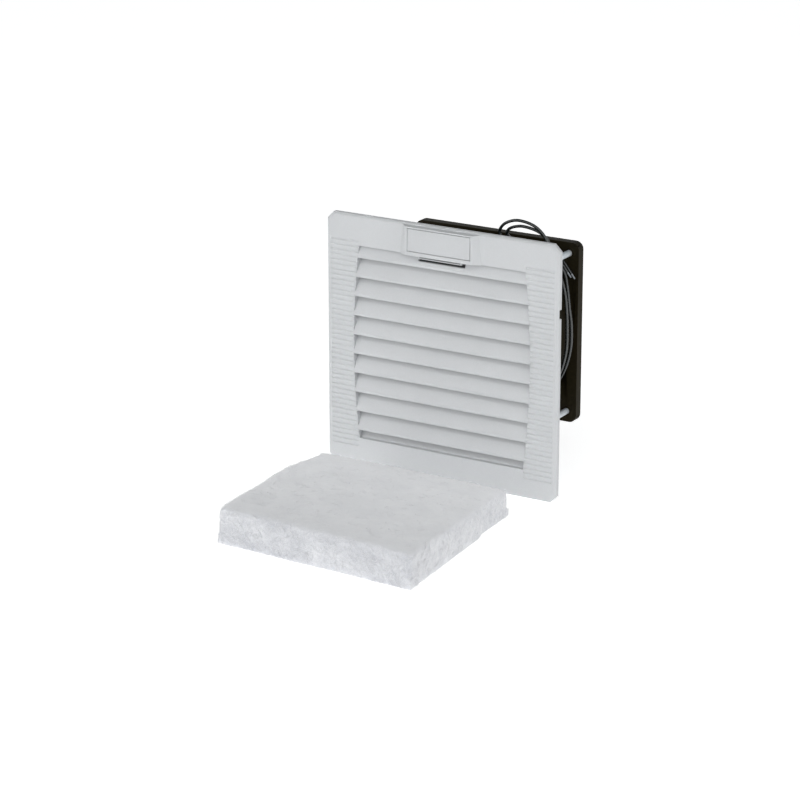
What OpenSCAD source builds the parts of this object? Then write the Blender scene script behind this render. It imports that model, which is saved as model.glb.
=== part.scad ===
// Cabinet filter fan: a louvred cover hinged on a base frame that sits in a door cut-out, with a filter mat
// and an axial fan behind it.
// Millimetres. The origin is on the door plane at the centre of the cover, X to the right, Y into the cabinet,
// Z up.

/* [Cover] */
// Width and height of the square cover
cover_w = 166; // [162:1:178]
// Depth of the rim from the front face to its rear edge
rim_depth = 3.8; // [3.4:0.1:5]
// Width of the bevel round the front face
rim_bevel = 1.2; // [0.6:0.1:1.6]
// Leg of the cut at each corner
corner_cut = 4.5; // [3:0.1:8]
// Thickness of the front skin and of the rim
cover_wall = 2; // [1.6:0.1:2.4]
// Strip of skin left of and right of the opening, at mid-height
side_strip = 19.5; // [18:0.5:22]
// Strip of skin above the opening
top_strip = 19.8; // [19.2:0.2:23]
// Strip of skin below the opening
bottom_strip = 18.6; // [17.6:0.2:22]
// How far each side of the opening bows outwards
opening_bow = 4; // [2:0.5:6]
// Height of the notch in each side rim
notch_h = 6; // [4:0.5:10]
// Depth of that notch
notch_depth = 1.7; // [0.8:0.1:1.8]
// Height of the notch above the centre of the cover
notch_z = 39; // [20:1:60]

/* [Louvres] */
// Distance from one slat to the next
slat_pitch = 12.7; // [10:0.1:16]
// Drop from the opening's top edge to the first lip
slat_first = 6.3; // [4:0.1:10]
// Height of the upright lip on each slat
lip_h = 1.6; // [1:0.1:2.4]
// Thickness of a slat
slat_t = 1.5; // [1:0.1:2.2]
// Slope of a slat, up from the horizontal
slat_angle = 64; // [50:1:70]
// Depth of the slats and of the wall round the opening
louvre_depth = 6; // [5:0.1:7]
// Thickness of the wall round the opening
collar_wall = 1.6; // [1.2:0.1:2.4]
// Distance from one groove of the side strips to the next
rib_pitch = 3.3; // [2.4:0.1:5]
// Width of a groove at the surface
rib_groove = 1.5; // [0.8:0.1:2]
// Depth of a groove
rib_depth = 0.45; // [0.2:0.05:0.7]
// Smooth border between the grooves and the bevel
rib_border = 2; // [1:0.5:5]

/* [Release block] */
// Width of the raised block at its front
block_w = 48; // [46:1:60]
// Width of each sloping side of the block at its top
block_ramp = 3.2; // [2:0.1:5]
// Width of each sloping side of the block at its foot
block_foot = 5; // [4:0.1:8]
// Height of the block above the cover's face
block_proud = 3; // [2.6:0.1:4]
// Width of the release panel
panel_w = 44.4; // [36:0.2:48]
// Height of the release panel
panel_h = 14.2; // [12:0.2:14.4]
// Thickness of the release panel
panel_t = 2; // [1.8:0.1:2.2]
// Gap all round the panel
panel_gap = 0.4; // [0.35:0.05:0.6]
// Width of the tongue below the panel
tongue_w = 31; // [20:1:40]
// Thickness of the tongue
tongue_t = 1.4; // [1:0.1:1.6]
// Height of the notch in the first slat, behind the end of the tongue
slot_h = 4.2; // [1.5:0.1:5]
// Diameter of the pin on which the release turns
latch_pin_d = 1.5; // [1.2:0.1:1.8]
// Width of the nose that holds the cover shut
nose_w = 20; // [10:1:26]
// Thickness of that nose
nose_t = 2.4; // [1.6:0.1:2.8]

/* [Base frame] */
// Thickness of the flange that lies on the door
flange_t = 2.4; // [2:0.1:3]
// Step from the cover's edge to the flange's edge
flange_inset = 3.5; // [3:0.1:5]
// Thickness of the foam seal
gasket_t = 2; // [1:0.1:4]
// Step from the flange's edge to the seal's edge
gasket_inset = 1.5; // [0.5:0.5:3]
// Diameter of the holes for the door screws
door_hole_d = 4.5; // [3.5:0.1:5]
// Wall thickness of the base frame
base_wall = 2; // [1.6:0.1:2.6]
// Depth of the mat's pocket behind the door plane
pocket_depth = 15.5; // [12:0.5:18]
// Depth from the door plane to the fan's seat
base_depth = 30.5; // [27:0.5:36]
// Thickness of the shoulder behind the pocket
shoulder_t = 2.5; // [2.2:0.1:4]
// Thickness of the wall that carries the fan
seat_t = 2.5; // [2:0.1:4]
// Diameter of the air hole in that wall
air_hole_d = 108; // [96:1:110]
// Thickness of the gussets between shoulder and fan box
gusset_t = 2; // [1.5:0.1:3]
// Thickness of the mat's grid
grid_t = 2; // [1.5:0.1:2.1]
// Width of a grid bar
grid_bar = 2.2; // [1.6:0.1:4]
// Number of grid cells each way
grid_cells = 8; // [4:1:10]

/* [Hinge] */
// Distance from the cover's lower edge up to the hinge axis
hinge_up = 6; // [5.6:0.1:7]
// Distance of each hinge from the centre
hinge_x = 45; // [30:1:55]
// Diameter of the hinge pin
hinge_pin_d = 2; // [1.5:0.1:2.2]
// Diameter of the knuckles
knuckle_d = 3.8; // [3.4:0.1:3.9]
// Width of the cover's knuckle
knuckle_w = 8; // [6:0.5:12]
// Width of each knuckle of the base frame
lug_w = 4; // [3:0.5:6]

/* [Filter mat] */
// Side of the square mat
mat_w = 129; // [110:1:131]
// Thickness of the mat
mat_t = 22; // [15:1:26]
// Distance of the mat's centre in front of the cover
mat_out = 103; // [80:1:160]
// Distance of the mat's centre to the right
mat_x = 6.5; // [-30:0.5:30]
// Turn of the mat on the surface
mat_turn = 2.4; // [-10:0.1:10]

/* [Fan housing] */
// Width and height of the square fan
fan_w = 119; // [116:0.5:121]
// Depth of the fan
fan_depth = 38; // [38:0.5:42]
// Height of the fan's axis above the centre of the cover
fan_z = 5; // [0:0.5:6]
// Thickness of the fan's flanges
fan_flange_t = 6.2; // [3:0.1:7]
// Radius of the flanges' corners
fan_corner_r = 5; // [4:0.5:8]
// Distance of the screw holes from the fan's edges
fan_hole_inset = 7.1; // [6.5:0.1:8]
// Diameter of the screw holes
fan_hole_d = 4.5; // [4.3:0.1:5]
// Least width of flange beside the fan's round bore
fan_margin = 4.5; // [4:0.1:6]
// Wall thickness of the round body
fan_body_wall = 1.8; // [1.4:0.1:2.2]
// Depth of the flared mouths
mouth_depth = 3; // [1:0.5:4]
// Widening of the flared mouths
mouth_flare = 2.2; // [1:0.1:3]
// Number of struts that carry the motor
strut_count = 4; // [3:1:5]
// Width of a strut
strut_w = 7; // [4:0.5:10]
// Depth of a strut
strut_depth = 5; // [3:0.5:6]
// Diameter of the motor plate
motor_plate_d = 66; // [60:1:72]
// Thickness of the motor plate
motor_plate_t = 3; // [3:0.1:4]

/* [Fan screws] */
// Diameter of the screws
screw_d = 4; // [3:0.1:4.2]
// Diameter of a screw head
head_d = 7.8; // [6:0.1:8.6]
// Height of a screw head
head_h = 2.4; // [1.5:0.1:3]
// Width across the flats of a nut
nut_w = 7; // [5.5:0.1:8]
// Height of a nut
nut_h = 3.2; // [2:0.1:4]
// Outer diameter of a washer
washer_d = 9; // [7:0.1:10]
// Thickness of a washer
washer_t = 0.8; // [0.5:0.1:1.2]
// Length of screw past the nut
screw_past = 1.5; // [0.5:0.1:4]

/* [Finger guard] */
// Diameter of the guard's wire
wire_d = 2.2; // [1.6:0.1:2.6]
// Radius of the smallest ring
ring_first_r = 16; // [12:1:20]
// How far the largest ring stands past the fan's bore
ring_past = 1; // [0:0.1:3]
// Number of rings
ring_count = 5; // [3:1:5]
// Bite of a weld between two wires
weld = 0.4; // [0.2:0.1:0.6]

/* [Impeller] */
// Diameter of the hub
hub_d = 65; // [60:1:72]
// Wall thickness of the hub
hub_wall = 1.5; // [1.2:0.1:2]
// Distance from the fan's front face to the hub's front
hub_in = 4.5; // [3:0.5:6]
// Number of blades
blade_count = 7; // [5:1:7]
// Gap between blade tips and bore
tip_gap = 1.2; // [0.8:0.1:2]
// Chord of a blade at the hub
chord_root = 27; // [20:1:28]
// Chord of a blade at its tip
chord_tip = 34; // [24:1:36]
// Angle between blade and axis at the hub
stagger_root = 36; // [30:1:50]
// Angle between blade and axis at the tip
stagger_tip = 57; // [50:1:65]
// Thickness of a blade at mid-chord
blade_t = 2; // [1.4:0.1:2.6]
// Height of a blade's camber
camber = 2.4; // [1:0.1:4]

/* [Motor] */
// Wall thickness of the steel rotor cup
cup_wall = 1.2; // [1:0.1:1.5]
// Depth of the rotor cup
cup_depth = 24; // [22:0.5:25]
// Thickness of the rotor ring
rotor_t = 2.4; // [1.5:0.1:3]
// Depth of the rotor ring
rotor_depth = 16; // [10:0.5:18]
// Air gap between rotor and stator
air_gap = 0.5; // [0.4:0.05:0.8]
// Depth of the stator's stack
stack_depth = 12; // [8:0.5:14]
// Width of a stator pole's neck
neck_w = 9; // [6:0.5:11]
// Thickness of a stator pole's shoe
shoe_t = 3; // [2:0.5:4]
// Thickness of the winding on each side of a neck
winding_t = 3; // [2:0.5:3.5]
// Diameter of the shaft
shaft_d = 5; // [4:0.1:6]
// Running clearance of the shaft in its bearings, on the radius
shaft_fit = 0.03; // [0.01:0.01:0.08]
// Outer diameter of the bearings
bearing_d = 11; // [9:0.5:13]
// Length of a bearing
bearing_len = 8; // [5:0.5:9]
// Wall thickness of the bearing tube
tube_wall = 2; // [1.5:0.1:3]
// Outer diameter of the shaft clip
clip_d = 9; // [8:0.1:10.5]
// Thickness of the shaft clip
clip_t = 0.7; // [0.5:0.1:0.8]

/* [Leads] */
// Diameter of a lead
lead_d = 2; // [1.4:0.1:2.2]
// Diameter of the stripped conductor
strand_d = 1.2; // [0.6:0.1:1.4]
// Length of the stripped ends
strip_len = 4; // [4:0.5:12]
// Diameter of the grommet's head
grommet_d = 11; // [9.5:0.5:13]
// Diameter of the grommet's shank
grommet_shank_d = 8; // [7:0.5:9]
// Thickness of the grommet's head
grommet_head = 1.8; // [1:0.1:2.4]

/* [Clearances] */
// Gap between the closed cover and the flange
cover_gap = 0.3; // [0.3:0.05:0.5]
// Gap between the opening's wall and the base frame
collar_gap = 0.5; // [0.4:0.1:1]
// Gap beside the hinge knuckles
knuckle_gap = 0.4; // [0.3:0.1:0.8]
// Running clearance of the hinge pin and of the latch pin, on the radius
pin_fit = 0.05; // [0.02:0.01:0.08]
// Gap round the latch's nose and tongue
latch_gap = 0.9; // [0.8:0.1:1]
// Gap round the mat's grid
grid_gap = 0.2; // [0.1:0.1:0.5]
// Gap between turning and fixed pieces along the fan's axis
end_gap = 0.4; // [0.3:0.1:0.6]

/* [Hidden] */
$fn = 96;

// Overshoot of a cut past the face that it opens
over = 1;
// Facets of the very large circles that bow the opening's sides
bow_fn = 720;

// Stack in front of the door plane
flange_front = -gasket_t - flange_t;
rim_back = flange_front - cover_gap;
cover_front = rim_back - rim_depth;
skin_back = cover_front + cover_wall;
block_front = cover_front - block_proud;
cover_half = cover_w / 2;

// Opening of the cover
opening_w = cover_w - 2 * side_strip;
opening_top = cover_half - top_strip;
opening_bottom = bottom_strip - cover_half;
opening_h = opening_top - opening_bottom;
opening_z = (opening_top + opening_bottom) / 2;
bow_r = (pow(opening_h / 2, 2) + pow(opening_bow, 2)) / (2 * opening_bow);

// Louvres
slat_rise = louvre_depth * tan(slat_angle);
slat_drop = slat_t / cos(slat_angle);
lip_back = (slat_drop - lip_h) / tan(slat_angle);
slat_count = ceil((opening_h - slat_first) / slat_pitch) + 1;
rib_past_top = 3.3;
rib_past_bottom = 5;
rib_top = opening_top + rib_past_top;
rib_count = floor((opening_h + rib_past_top + rib_past_bottom) / rib_pitch) + 1;

// Base frame: the mat's pocket follows the opening's wall, the box behind it follows the fan
flange_half = cover_half - flange_inset;
flange_cut_more = 1.5;
flange_cut = corner_cut + flange_cut_more;
pocket_half = max(opening_w, opening_h) / 2 + collar_wall + collar_gap;
tub_half = pocket_half + base_wall;
box_half = fan_w / 2 + base_wall;
box_inner = box_half - base_wall;
shoulder_back = pocket_depth + shoulder_t;
seat_front = base_depth - seat_t;
grid_back = pocket_depth + grid_t;
grid_ledge = 0.8;
grid_half = box_inner + grid_ledge;
door_hole_pos = (tub_half + flange_half) / 2;
tub_root = 0.6;

// Hinge axis of the cover
hinge_z = hinge_up - cover_half;
hinge_sink = 0.2;
hinge_y = flange_front + hinge_sink;

// Release: the panel sits between the opening and the rim and turns about its own mid-height
panel_lift = -0.15;
panel_z = (opening_top + cover_half) / 2 + panel_lift;
block_overhang = 0.2;
block_bottom = opening_top - block_overhang;
block_top = cover_half - rim_bevel;
panel_back = block_front + panel_t;
panel_join = 0.1;
latch_y = panel_back - panel_join;
boss_wall = 0.75;
boss_r = latch_pin_d / 2 + boss_wall;
pin_seat = 1;
bar_t = 0.7;
tongue_front = panel_back - panel_join;
tongue_back = tongue_front + tongue_t;
tongue_room = 0.6;
tongue_side = 1.2;
tongue_drop = 2;
tongue_half = tongue_w / 2 + tongue_side;
tongue_bottom = opening_top - tongue_drop;
notch_wall_y = cover_front + louvre_depth - 1.2 * collar_wall;
notch_wall_drop = 2;
spring_seat = 1.6;
window_top = panel_z + panel_h / 2 - spring_seat;
nose_back = flange_front + flange_t / 2;
nose_drop = 4.6;
nose_z = panel_z - nose_drop;
spring_t = 0.3;
spring_w = 12;
spring_gap = 0.1;
block_edge = 0.5;
block_lap = 0.6;

// Fan
fan_front = base_depth;
fan_rear = fan_front + fan_depth;
fan_hole_pos = fan_w / 2 - fan_hole_inset;
bore_r = fan_w / 2 - fan_margin;
body_r = bore_r + fan_body_wall;
corner_signs = [[-1, -1], [1, -1], [1, 1], [-1, 1]];

// Motor, from the plate at the rear towards the hub at the front
plate_sink = 1;
plate_back = fan_rear - plate_sink;
plate_front = plate_back - motor_plate_t;
plate_floor = 1.1;
plate_rim = 4;
clip_well = motor_plate_t - plate_floor;
clip_room = 1;
strut_turn = 20;
tube_r = bearing_d / 2 + tube_wall;
hub_front = fan_front + hub_in;
hub_r = hub_d / 2;
cup_front = hub_front + hub_wall;
cup_r = hub_r - hub_wall;
cup_inner = cup_r - cup_wall;
cup_back = cup_front + cup_depth;
boss_len = 6;
tube_front = cup_front + boss_len + end_gap;
rotor_inner = cup_inner - rotor_t;
stator_r = rotor_inner - air_gap;
rotor_sink = 0.5;
rotor_back = cup_back - rotor_sink;
rotor_mid = rotor_back - rotor_depth / 2;
stack_front = rotor_mid - stack_depth / 2;
core_wall = 4;
core_r = tube_r + core_wall;
pole_count = 4;
shoe_spread = 38.5;
coil_gap = 0.3;
shaft_front = hub_front + hub_wall;
shaft_back = plate_front + clip_well - end_gap;
clip_gap = 0.3;
clip_front = plate_front + clip_gap;
groove_depth = 0.5;
clip_slot = 1;

// Blades
tip_r = bore_r - tip_gap;
root_r = hub_r - hub_wall / 2;
blade_in = 14;
blade_mid = hub_front + blade_in;
edge_share = 0.3;
blade_sections = 5;
chord_steps = 8;

// Screws and guard behind the fan
guard_r = bore_r + ring_past;
ring_step = (guard_r - ring_first_r) / (ring_count - 1);
eye_gap = 0.3;
eye_r = screw_d / 2 + eye_gap + wire_d / 2;
guard_y = fan_rear + wire_d / 2;
washer_front = fan_rear + wire_d;
nut_front = washer_front + washer_t;
screw_back = nut_front + nut_h + screw_past;

// Grommet in the corner of the housing
grommet_angle = 225;
grommet_stand = 4;
grommet_face = body_r + grommet_stand;
grommet_in = 22.7;
grommet_y = fan_front + grommet_in;
pad_rim = 1;
grommet_pad_r = grommet_d / 2 + pad_rim;

// Width, front face and axis height of the fan that the leads' routes are drawn for
route_fan_w = 119;
route_fan_front = 30.5;
route_fan_z = 5;
route_scale = fan_w / route_fan_w;

// Routes of the leads from the grommet to the stripped ends
lead_a_route = [[-43, 51, -38], [-45.5, 51, -40.5], [-47, 50.5, -44.5], [-44, 50, -48.5],
                [-36, 50, -50.5], [-24, 50, -52], [-10, 50, -53], [5, 50, -53.5], [20, 50, -50],
                [34, 50, -43], [46, 50, -31.5], [54, 50, -18], [58, 50, -3], [58.4, 50, 12],
                [57.8, 50, 24], [56.4, 50, 34.7], [53.5, 50.3, 43.5], [48.5, 50.5, 51.5], [44, 51, 59.5],
                [41, 51.5, 68.5], [33, 51.5, 75], [21.5, 51.5, 77], [12.5, 51.5, 74], [8, 52, 68.5],
                [9, 53, 64.5], [14, 53, 62.5], [22, 54.5, 62], [30, 57, 61.5], [37, 57.9, 60],
                [44, 57.9, 56.5], [49.5, 57.9, 51.5], [54, 57.9, 46]];
lead_b_route = [[-43, 55.5, -38], [-45.5, 55.5, -40.5], [-47, 56, -44.5], [-44, 56, -48.5],
                [-36, 56, -50.5], [-24, 56, -52], [-10, 56, -53], [5, 56, -53.5], [20, 56, -50],
                [34, 56, -43], [46, 56, -31.5], [54, 56, -18], [58, 56, -3], [58.2, 56, 12],
                [56.8, 56, 22.5], [55.1, 56, 36], [53, 56, 45.5], [48.5, 55.5, 52.5], [44, 55, 60],
                [40, 55, 67], [33, 55, 71], [22.5, 55, 72.5], [13.8, 55.5, 70], [10.8, 57, 65.5],
                [15, 59.5, 61.5], [25, 61, 60], [36, 61, 58.5], [45, 61, 55.5], [50, 61, 51],
                [55.2, 61, 44.5]];
lead_rings = 39;
lead_sides = 8;

// 2D outline in X and Z, extruded along Y
module along_y(start, length) {
    translate([0, start + length, 0]) rotate([90, 0, 0]) linear_extrude(length) children();
}

// 2D outline in Y and Z, extruded along X
module along_x(start, length) {
    translate([start, 0, 0]) rotate([90, 0, 90]) linear_extrude(length) children();
}

// Round bar along Y
module bar_y(r, start, length) {
    translate([0, start, 0]) rotate([-90, 0, 0]) cylinder(r = r, h = length);
}

// Round bar along X at a place in Y and Z
module bar_x(r, start, length, y, z) {
    translate([start, y, z]) rotate([0, 90, 0]) cylinder(r = r, h = length);
}

// Box between two corners
module box(low, high) {
    translate(low) cube(high - low);
}

// Round tube along Y
module tube_y(outer, inner, start, length) {
    difference() {
        bar_y(outer, start, length);
        bar_y(inner, start - over, length + 2 * over);
    }
}

// Square with cut corners
module cut_square(half, cut) {
    polygon([[cut - half, -half], [half - cut, -half], [half, cut - half], [half, half - cut],
             [half - cut, half], [cut - half, half], [-half, half - cut], [-half, cut - half]]);
}

// Square with round corners
module round_square(half, r) {
    square([2 * half, 2 * (half - r)], center = true);
    square([2 * (half - r), 2 * half], center = true);
    for (s = corner_signs) {
        translate((half - r) * s) circle(r = r);
    }
}

// Places the children at the four fan screws
module at_fan_screws() {
    for (s = corner_signs) {
        translate([s[0] * fan_hole_pos, 0, fan_z + s[1] * fan_hole_pos]) children();
    }
}

// Opening with bowed sides, grown by a wall
module barrel(grow) {
    translate([0, opening_z]) intersection() {
        square([opening_w + 2 * grow, opening_h + 2 * grow], center = true);
        translate([opening_w / 2 - bow_r, 0]) circle(r = bow_r + grow, $fn = bow_fn);
        translate([bow_r - opening_w / 2, 0]) circle(r = bow_r + grow, $fn = bow_fn);
    }
}

// Section of one slat, its lip's top edge at the front of the cover
module slat_section(z) {
    translate([cover_front, z])
        polygon([[0, 0], [louvre_depth, slat_rise], [louvre_depth, slat_rise - slat_drop],
                 [lip_back, -lip_h], [0, -lip_h]]);
}

module louvres() {
    intersection() {
        along_y(cover_front, louvre_depth) barrel(collar_wall / 2);
        for (i = [0:slat_count - 1]) {
            along_x(-opening_w / 2 - collar_wall, opening_w + 2 * collar_wall)
                slat_section(opening_top - slat_first - i * slat_pitch);
        }
    }
}

// Comb that cuts the grooves of one side strip
module rib_comb() {
    teeth = [for (i = [0:rib_count - 1])
                 let (z = rib_top - i * rib_pitch)
                     each [[0, z], [rib_depth, z - rib_depth], [rib_depth, z - rib_groove + rib_depth],
                           [0, z - rib_groove]]];
    last = teeth[len(teeth) - 1];
    along_x(opening_w / 2 - opening_bow - over, side_strip + opening_bow + over - rim_bevel - rib_border)
        translate([cover_front, 0])
            polygon(concat([[-over, rib_top]], teeth, [[-over, last[1]]]));
}

module cover_shell() {
    difference() {
        union() {
            along_y(cover_front + rim_bevel, rim_depth - rim_bevel) cut_square(cover_half, corner_cut);
            translate([0, cover_front + rim_bevel, 0]) rotate([90, 0, 0])
                linear_extrude(rim_bevel, scale = (cover_half - rim_bevel) / cover_half)
                    cut_square(cover_half, corner_cut);
        }
        along_y(skin_back, rim_depth) cut_square(cover_half - cover_wall, corner_cut - cover_wall / 2);
        along_y(cover_front - over, cover_wall + 2 * over) barrel(0);
        rib_comb();
        mirror([1, 0, 0]) rib_comb();
        for (s = [-1, 1]) {
            translate([s * cover_half, (cover_front + rim_bevel + rim_back) / 2 + over / 2, notch_z])
                cube([2 * notch_depth, rim_depth - rim_bevel + over, notch_h], center = true);
        }
    }
}

// Section of a block's sloping side at a height, wider by the ramp than the block
function ramp_section(ramp, z) =
    [[block_w / 2 - block_lap, block_front, z], [block_w / 2, block_front, z],
     [block_w / 2 + ramp, cover_front, z], [block_w / 2 + ramp, skin_back, z],
     [block_w / 2 - block_lap, skin_back, z]];

// Sloping side of the block, wider at its foot than at its top
module block_side() {
    polyhedron(concat(ramp_section(block_foot, block_bottom), ramp_section(block_ramp, block_top)),
               [[0, 1, 2, 3, 4], [9, 8, 7, 6, 5], [0, 5, 6, 1], [1, 6, 2], [6, 7, 2], [2, 7, 8, 3],
                [3, 8, 9, 4], [4, 9, 5, 0]]);
}

// Raised block with sloping sides and a sloping top
module block_body() {
    difference() {
        union() {
            box([-block_w / 2, block_front, block_bottom], [block_w / 2, skin_back, block_top]);
            block_side();
            mirror([1, 0, 0]) block_side();
        }
        along_x(-block_w, 2 * block_w)
            polygon([[block_front - over, block_top - block_edge], [block_front, block_top - block_edge],
                     [cover_front, block_top + over], [block_front - over, block_top + over]]);
    }
}

// Room in the block for the panel, the tongue, the nose and the pin
module block_cuts() {
    half_w = panel_w / 2 + panel_gap;
    half_h = panel_h / 2 + panel_gap;
    box([-half_w, block_front - over, panel_z - half_h], [half_w, cover_front, panel_z + half_h]);
    box([-tongue_half, block_front + bar_t, block_bottom - over],
        [tongue_half, tongue_back + tongue_room, panel_z]);
    box([-half_w, block_front + panel_t, panel_z - boss_r - latch_gap],
        [half_w, latch_y + boss_r + cover_gap, panel_z + boss_r + latch_gap]);
    box([-tongue_half, cover_front - over, opening_top - slot_h], [tongue_half, notch_wall_y, opening_top]);
    box([-nose_w / 2 - latch_gap, cover_front - over, nose_z - nose_t / 2 - latch_gap],
        [nose_w / 2 + latch_gap, skin_back + over, window_top]);
    bar_x(latch_pin_d / 2, -block_w / 2 - pin_seat, block_w + 2 * pin_seat, latch_y, panel_z);
}

// Wall that hangs from the collar behind the notch and shuts off the view into the fan
module notch_wall() {
    box([-tongue_half - collar_wall, notch_wall_y, opening_top - slot_h - notch_wall_drop],
        [tongue_half + collar_wall, notch_wall_y + collar_wall, opening_top + collar_wall / 2]);
}

// Knuckle of the cover with its web to the skin
module cover_knuckle() {
    difference() {
        union() {
            bar_x(knuckle_d / 2, hinge_x - knuckle_w / 2, knuckle_w, hinge_y, hinge_z);
            box([hinge_x - knuckle_w / 2, skin_back - cover_wall / 2, hinge_z - knuckle_d / 3],
                [hinge_x + knuckle_w / 2, hinge_y - hinge_pin_d / 2 - pin_fit, hinge_z + knuckle_d / 3]);
        }
        bar_x(hinge_pin_d / 2 + pin_fit, hinge_x - knuckle_w, 2 * knuckle_w, hinge_y, hinge_z);
    }
}

module grille_cover() {
    color("#CDCFD1") {
        difference() {
            union() {
                cover_shell();
                difference() {
                    along_y(cover_front + cover_wall / 2, louvre_depth - cover_wall / 2) barrel(collar_wall);
                    along_y(cover_front - over, louvre_depth + 2 * over) barrel(0);
                }
                louvres();
                block_body();
                notch_wall();
            }
            block_cuts();
        }
        cover_knuckle();
        mirror([1, 0, 0]) cover_knuckle();
    }
}

module release_latch() {
    color("#D2D3D4") difference() {
        union() {
            box([-panel_w / 2, block_front, panel_z - panel_h / 2],
                [panel_w / 2, panel_back, panel_z + panel_h / 2]);
            bar_x(boss_r, -panel_w / 2, panel_w, latch_y, panel_z);
            box([-tongue_w / 2, tongue_front, tongue_bottom], [tongue_w / 2, tongue_back, panel_z - boss_r / 2]);
            box([-nose_w / 2, tongue_front, nose_z - nose_t / 2], [nose_w / 2, nose_back, nose_z + nose_t / 2]);
        }
        bar_x(latch_pin_d / 2 + pin_fit, -panel_w, 2 * panel_w, latch_y, panel_z);
    }
}

module latch_pin() {
    color("silver") bar_x(latch_pin_d / 2, -block_w / 2 - pin_seat, block_w + 2 * pin_seat, latch_y, panel_z);
}

// Bent leaf between the skin above the window and the panel's upper half
module latch_spring() {
    foot = panel_z + panel_h / 2;
    tip = panel_z + 1.4 * boss_r;
    color("silver") along_x(-spring_w / 2, spring_w)
        polygon([[cover_front, foot], [cover_front - spring_t, foot], [cover_front - spring_t, window_top],
                 [panel_back + spring_gap, tip], [panel_back + spring_gap + spring_t, tip],
                 [cover_front, window_top]]);
}

// Holes for the door screws
module door_holes() {
    for (s = corner_signs) {
        translate([s[0] * door_hole_pos, 0, s[1] * door_hole_pos])
            bar_y(door_hole_d / 2, flange_front - over, base_depth);
    }
}

// Knuckles of the base frame on both sides of a cover knuckle
module base_lugs() {
    for (side = [-1, 1]) {
        low = hinge_x + side * (knuckle_w / 2 + knuckle_gap + lug_w / 2) - lug_w / 2;
        bar_x(knuckle_d / 2, low, lug_w, hinge_y, hinge_z);
    }
}

module base_flange() {
    difference() {
        along_y(flange_front, flange_t) difference() {
            cut_square(flange_half, flange_cut);
            translate([0, opening_z]) square(2 * pocket_half, center = true);
        }
        door_holes();
        box([-nose_w / 2 - latch_gap, flange_front - over, nose_z - nose_t / 2 - latch_gap],
            [nose_w / 2 + latch_gap, over, nose_z + nose_t / 2 + latch_gap / 2]);
        for (s = [-1, 1]) {
            translate([s * hinge_x - knuckle_w / 2 - knuckle_gap, flange_front - over, -flange_half - over])
                cube([knuckle_w + 2 * knuckle_gap, flange_t + 2 * over,
                      hinge_z + knuckle_d / 2 + knuckle_gap + flange_half + over]);
        }
    }
}

// Square tube, open at both ends
module square_tube(outer, inner, start, length) {
    along_y(start, length) difference() {
        square(2 * outer, center = true);
        square(2 * inner, center = true);
    }
}

// Gussets that brace the fan's box against the shoulder, two on each side
module gussets() {
    reach = min(tub_half - box_half, seat_front - shoulder_back);
    for (turn = [0:90:270]) {
        translate([0, 0, fan_z]) rotate([0, turn, 0]) for (s = [-1, 1]) {
            along_x(s * box_half / 2 - gusset_t / 2, gusset_t)
                polygon([[grid_back, -box_half + base_wall / 2], [grid_back, -box_half - reach / 2],
                         [shoulder_back, -box_half - reach / 2],
                         [seat_front, -box_half], [seat_front, -box_half + base_wall / 2]]);
        }
    }
}

module base_frame() {
    color("#C9CBCD") difference() {
        union() {
            base_flange();
            translate([0, 0, opening_z])
                square_tube(tub_half, pocket_half, -gasket_t - tub_root, shoulder_back + gasket_t + tub_root);
            difference() {
                translate([0, 0, opening_z]) along_y(pocket_depth, shoulder_t) square(2 * tub_half, center = true);
                translate([0, 0, fan_z])
                    along_y(pocket_depth - over, shoulder_t + 2 * over) square(2 * box_inner, center = true);
            }
            translate([0, 0, fan_z]) {
                square_tube(box_half, box_inner, grid_back, base_depth - grid_back);
                difference() {
                    along_y(seat_front, seat_t) square(2 * box_half, center = true);
                    bar_y(air_hole_d / 2, seat_front - over, seat_t + 2 * over);
                }
            }
            gussets();
            base_lugs();
            mirror([1, 0, 0]) base_lugs();
        }
        translate([0, 0, fan_z]) along_y(pocket_depth, grid_t) square(2 * grid_half + 2 * grid_gap, center = true);
        at_fan_screws() bar_y(fan_hole_d / 2, seat_front - over, seat_t + 2 * over);
        for (s = [-1, 1]) {
            bar_x(hinge_pin_d / 2, s * hinge_x - knuckle_w / 2 - lug_w - over, knuckle_w + 2 * lug_w + 2 * over,
                  hinge_y, hinge_z);
        }
    }
}

module mat_grid() {
    step = (2 * box_inner) / grid_cells;
    color("#C4C6C8") translate([0, 0, fan_z]) along_y(pocket_depth, grid_t) {
        difference() {
            square(2 * grid_half, center = true);
            square(2 * box_inner, center = true);
        }
        for (i = [1:grid_cells - 1]) {
            translate([i * step - box_inner, 0]) square([grid_bar, 2 * box_inner], center = true);
            translate([0, i * step - box_inner]) square([2 * box_inner, grid_bar], center = true);
        }
    }
}

module door_gasket() {
    color("#2A2A2A") difference() {
        along_y(-gasket_t, gasket_t) difference() {
            cut_square(flange_half - gasket_inset, flange_cut);
            translate([0, opening_z]) square(2 * tub_half, center = true);
        }
        door_holes();
        for (s = [-1, 1]) {
            translate([s * hinge_x - knuckle_w / 2 - lug_w, -gasket_t - over, -flange_half - over])
                cube([knuckle_w + 2 * lug_w, gasket_t + 2 * over,
                      hinge_z + knuckle_d / 2 + knuckle_gap + flange_half + over]);
        }
    }
}

module hinge_pins() {
    color("silver") for (s = [-1, 1]) {
        bar_x(hinge_pin_d / 2, s * hinge_x - knuckle_w / 2 - knuckle_gap - lug_w,
              knuckle_w + 2 * knuckle_gap + 2 * lug_w, hinge_y, hinge_z);
    }
}

module filter_mat() {
    color("#E3E4E6") translate([mat_x, cover_front - mat_out, mat_t / 2 - cover_half]) rotate([0, 0, mat_turn])
        cube([mat_w, mat_w, mat_t], center = true);
}

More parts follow.
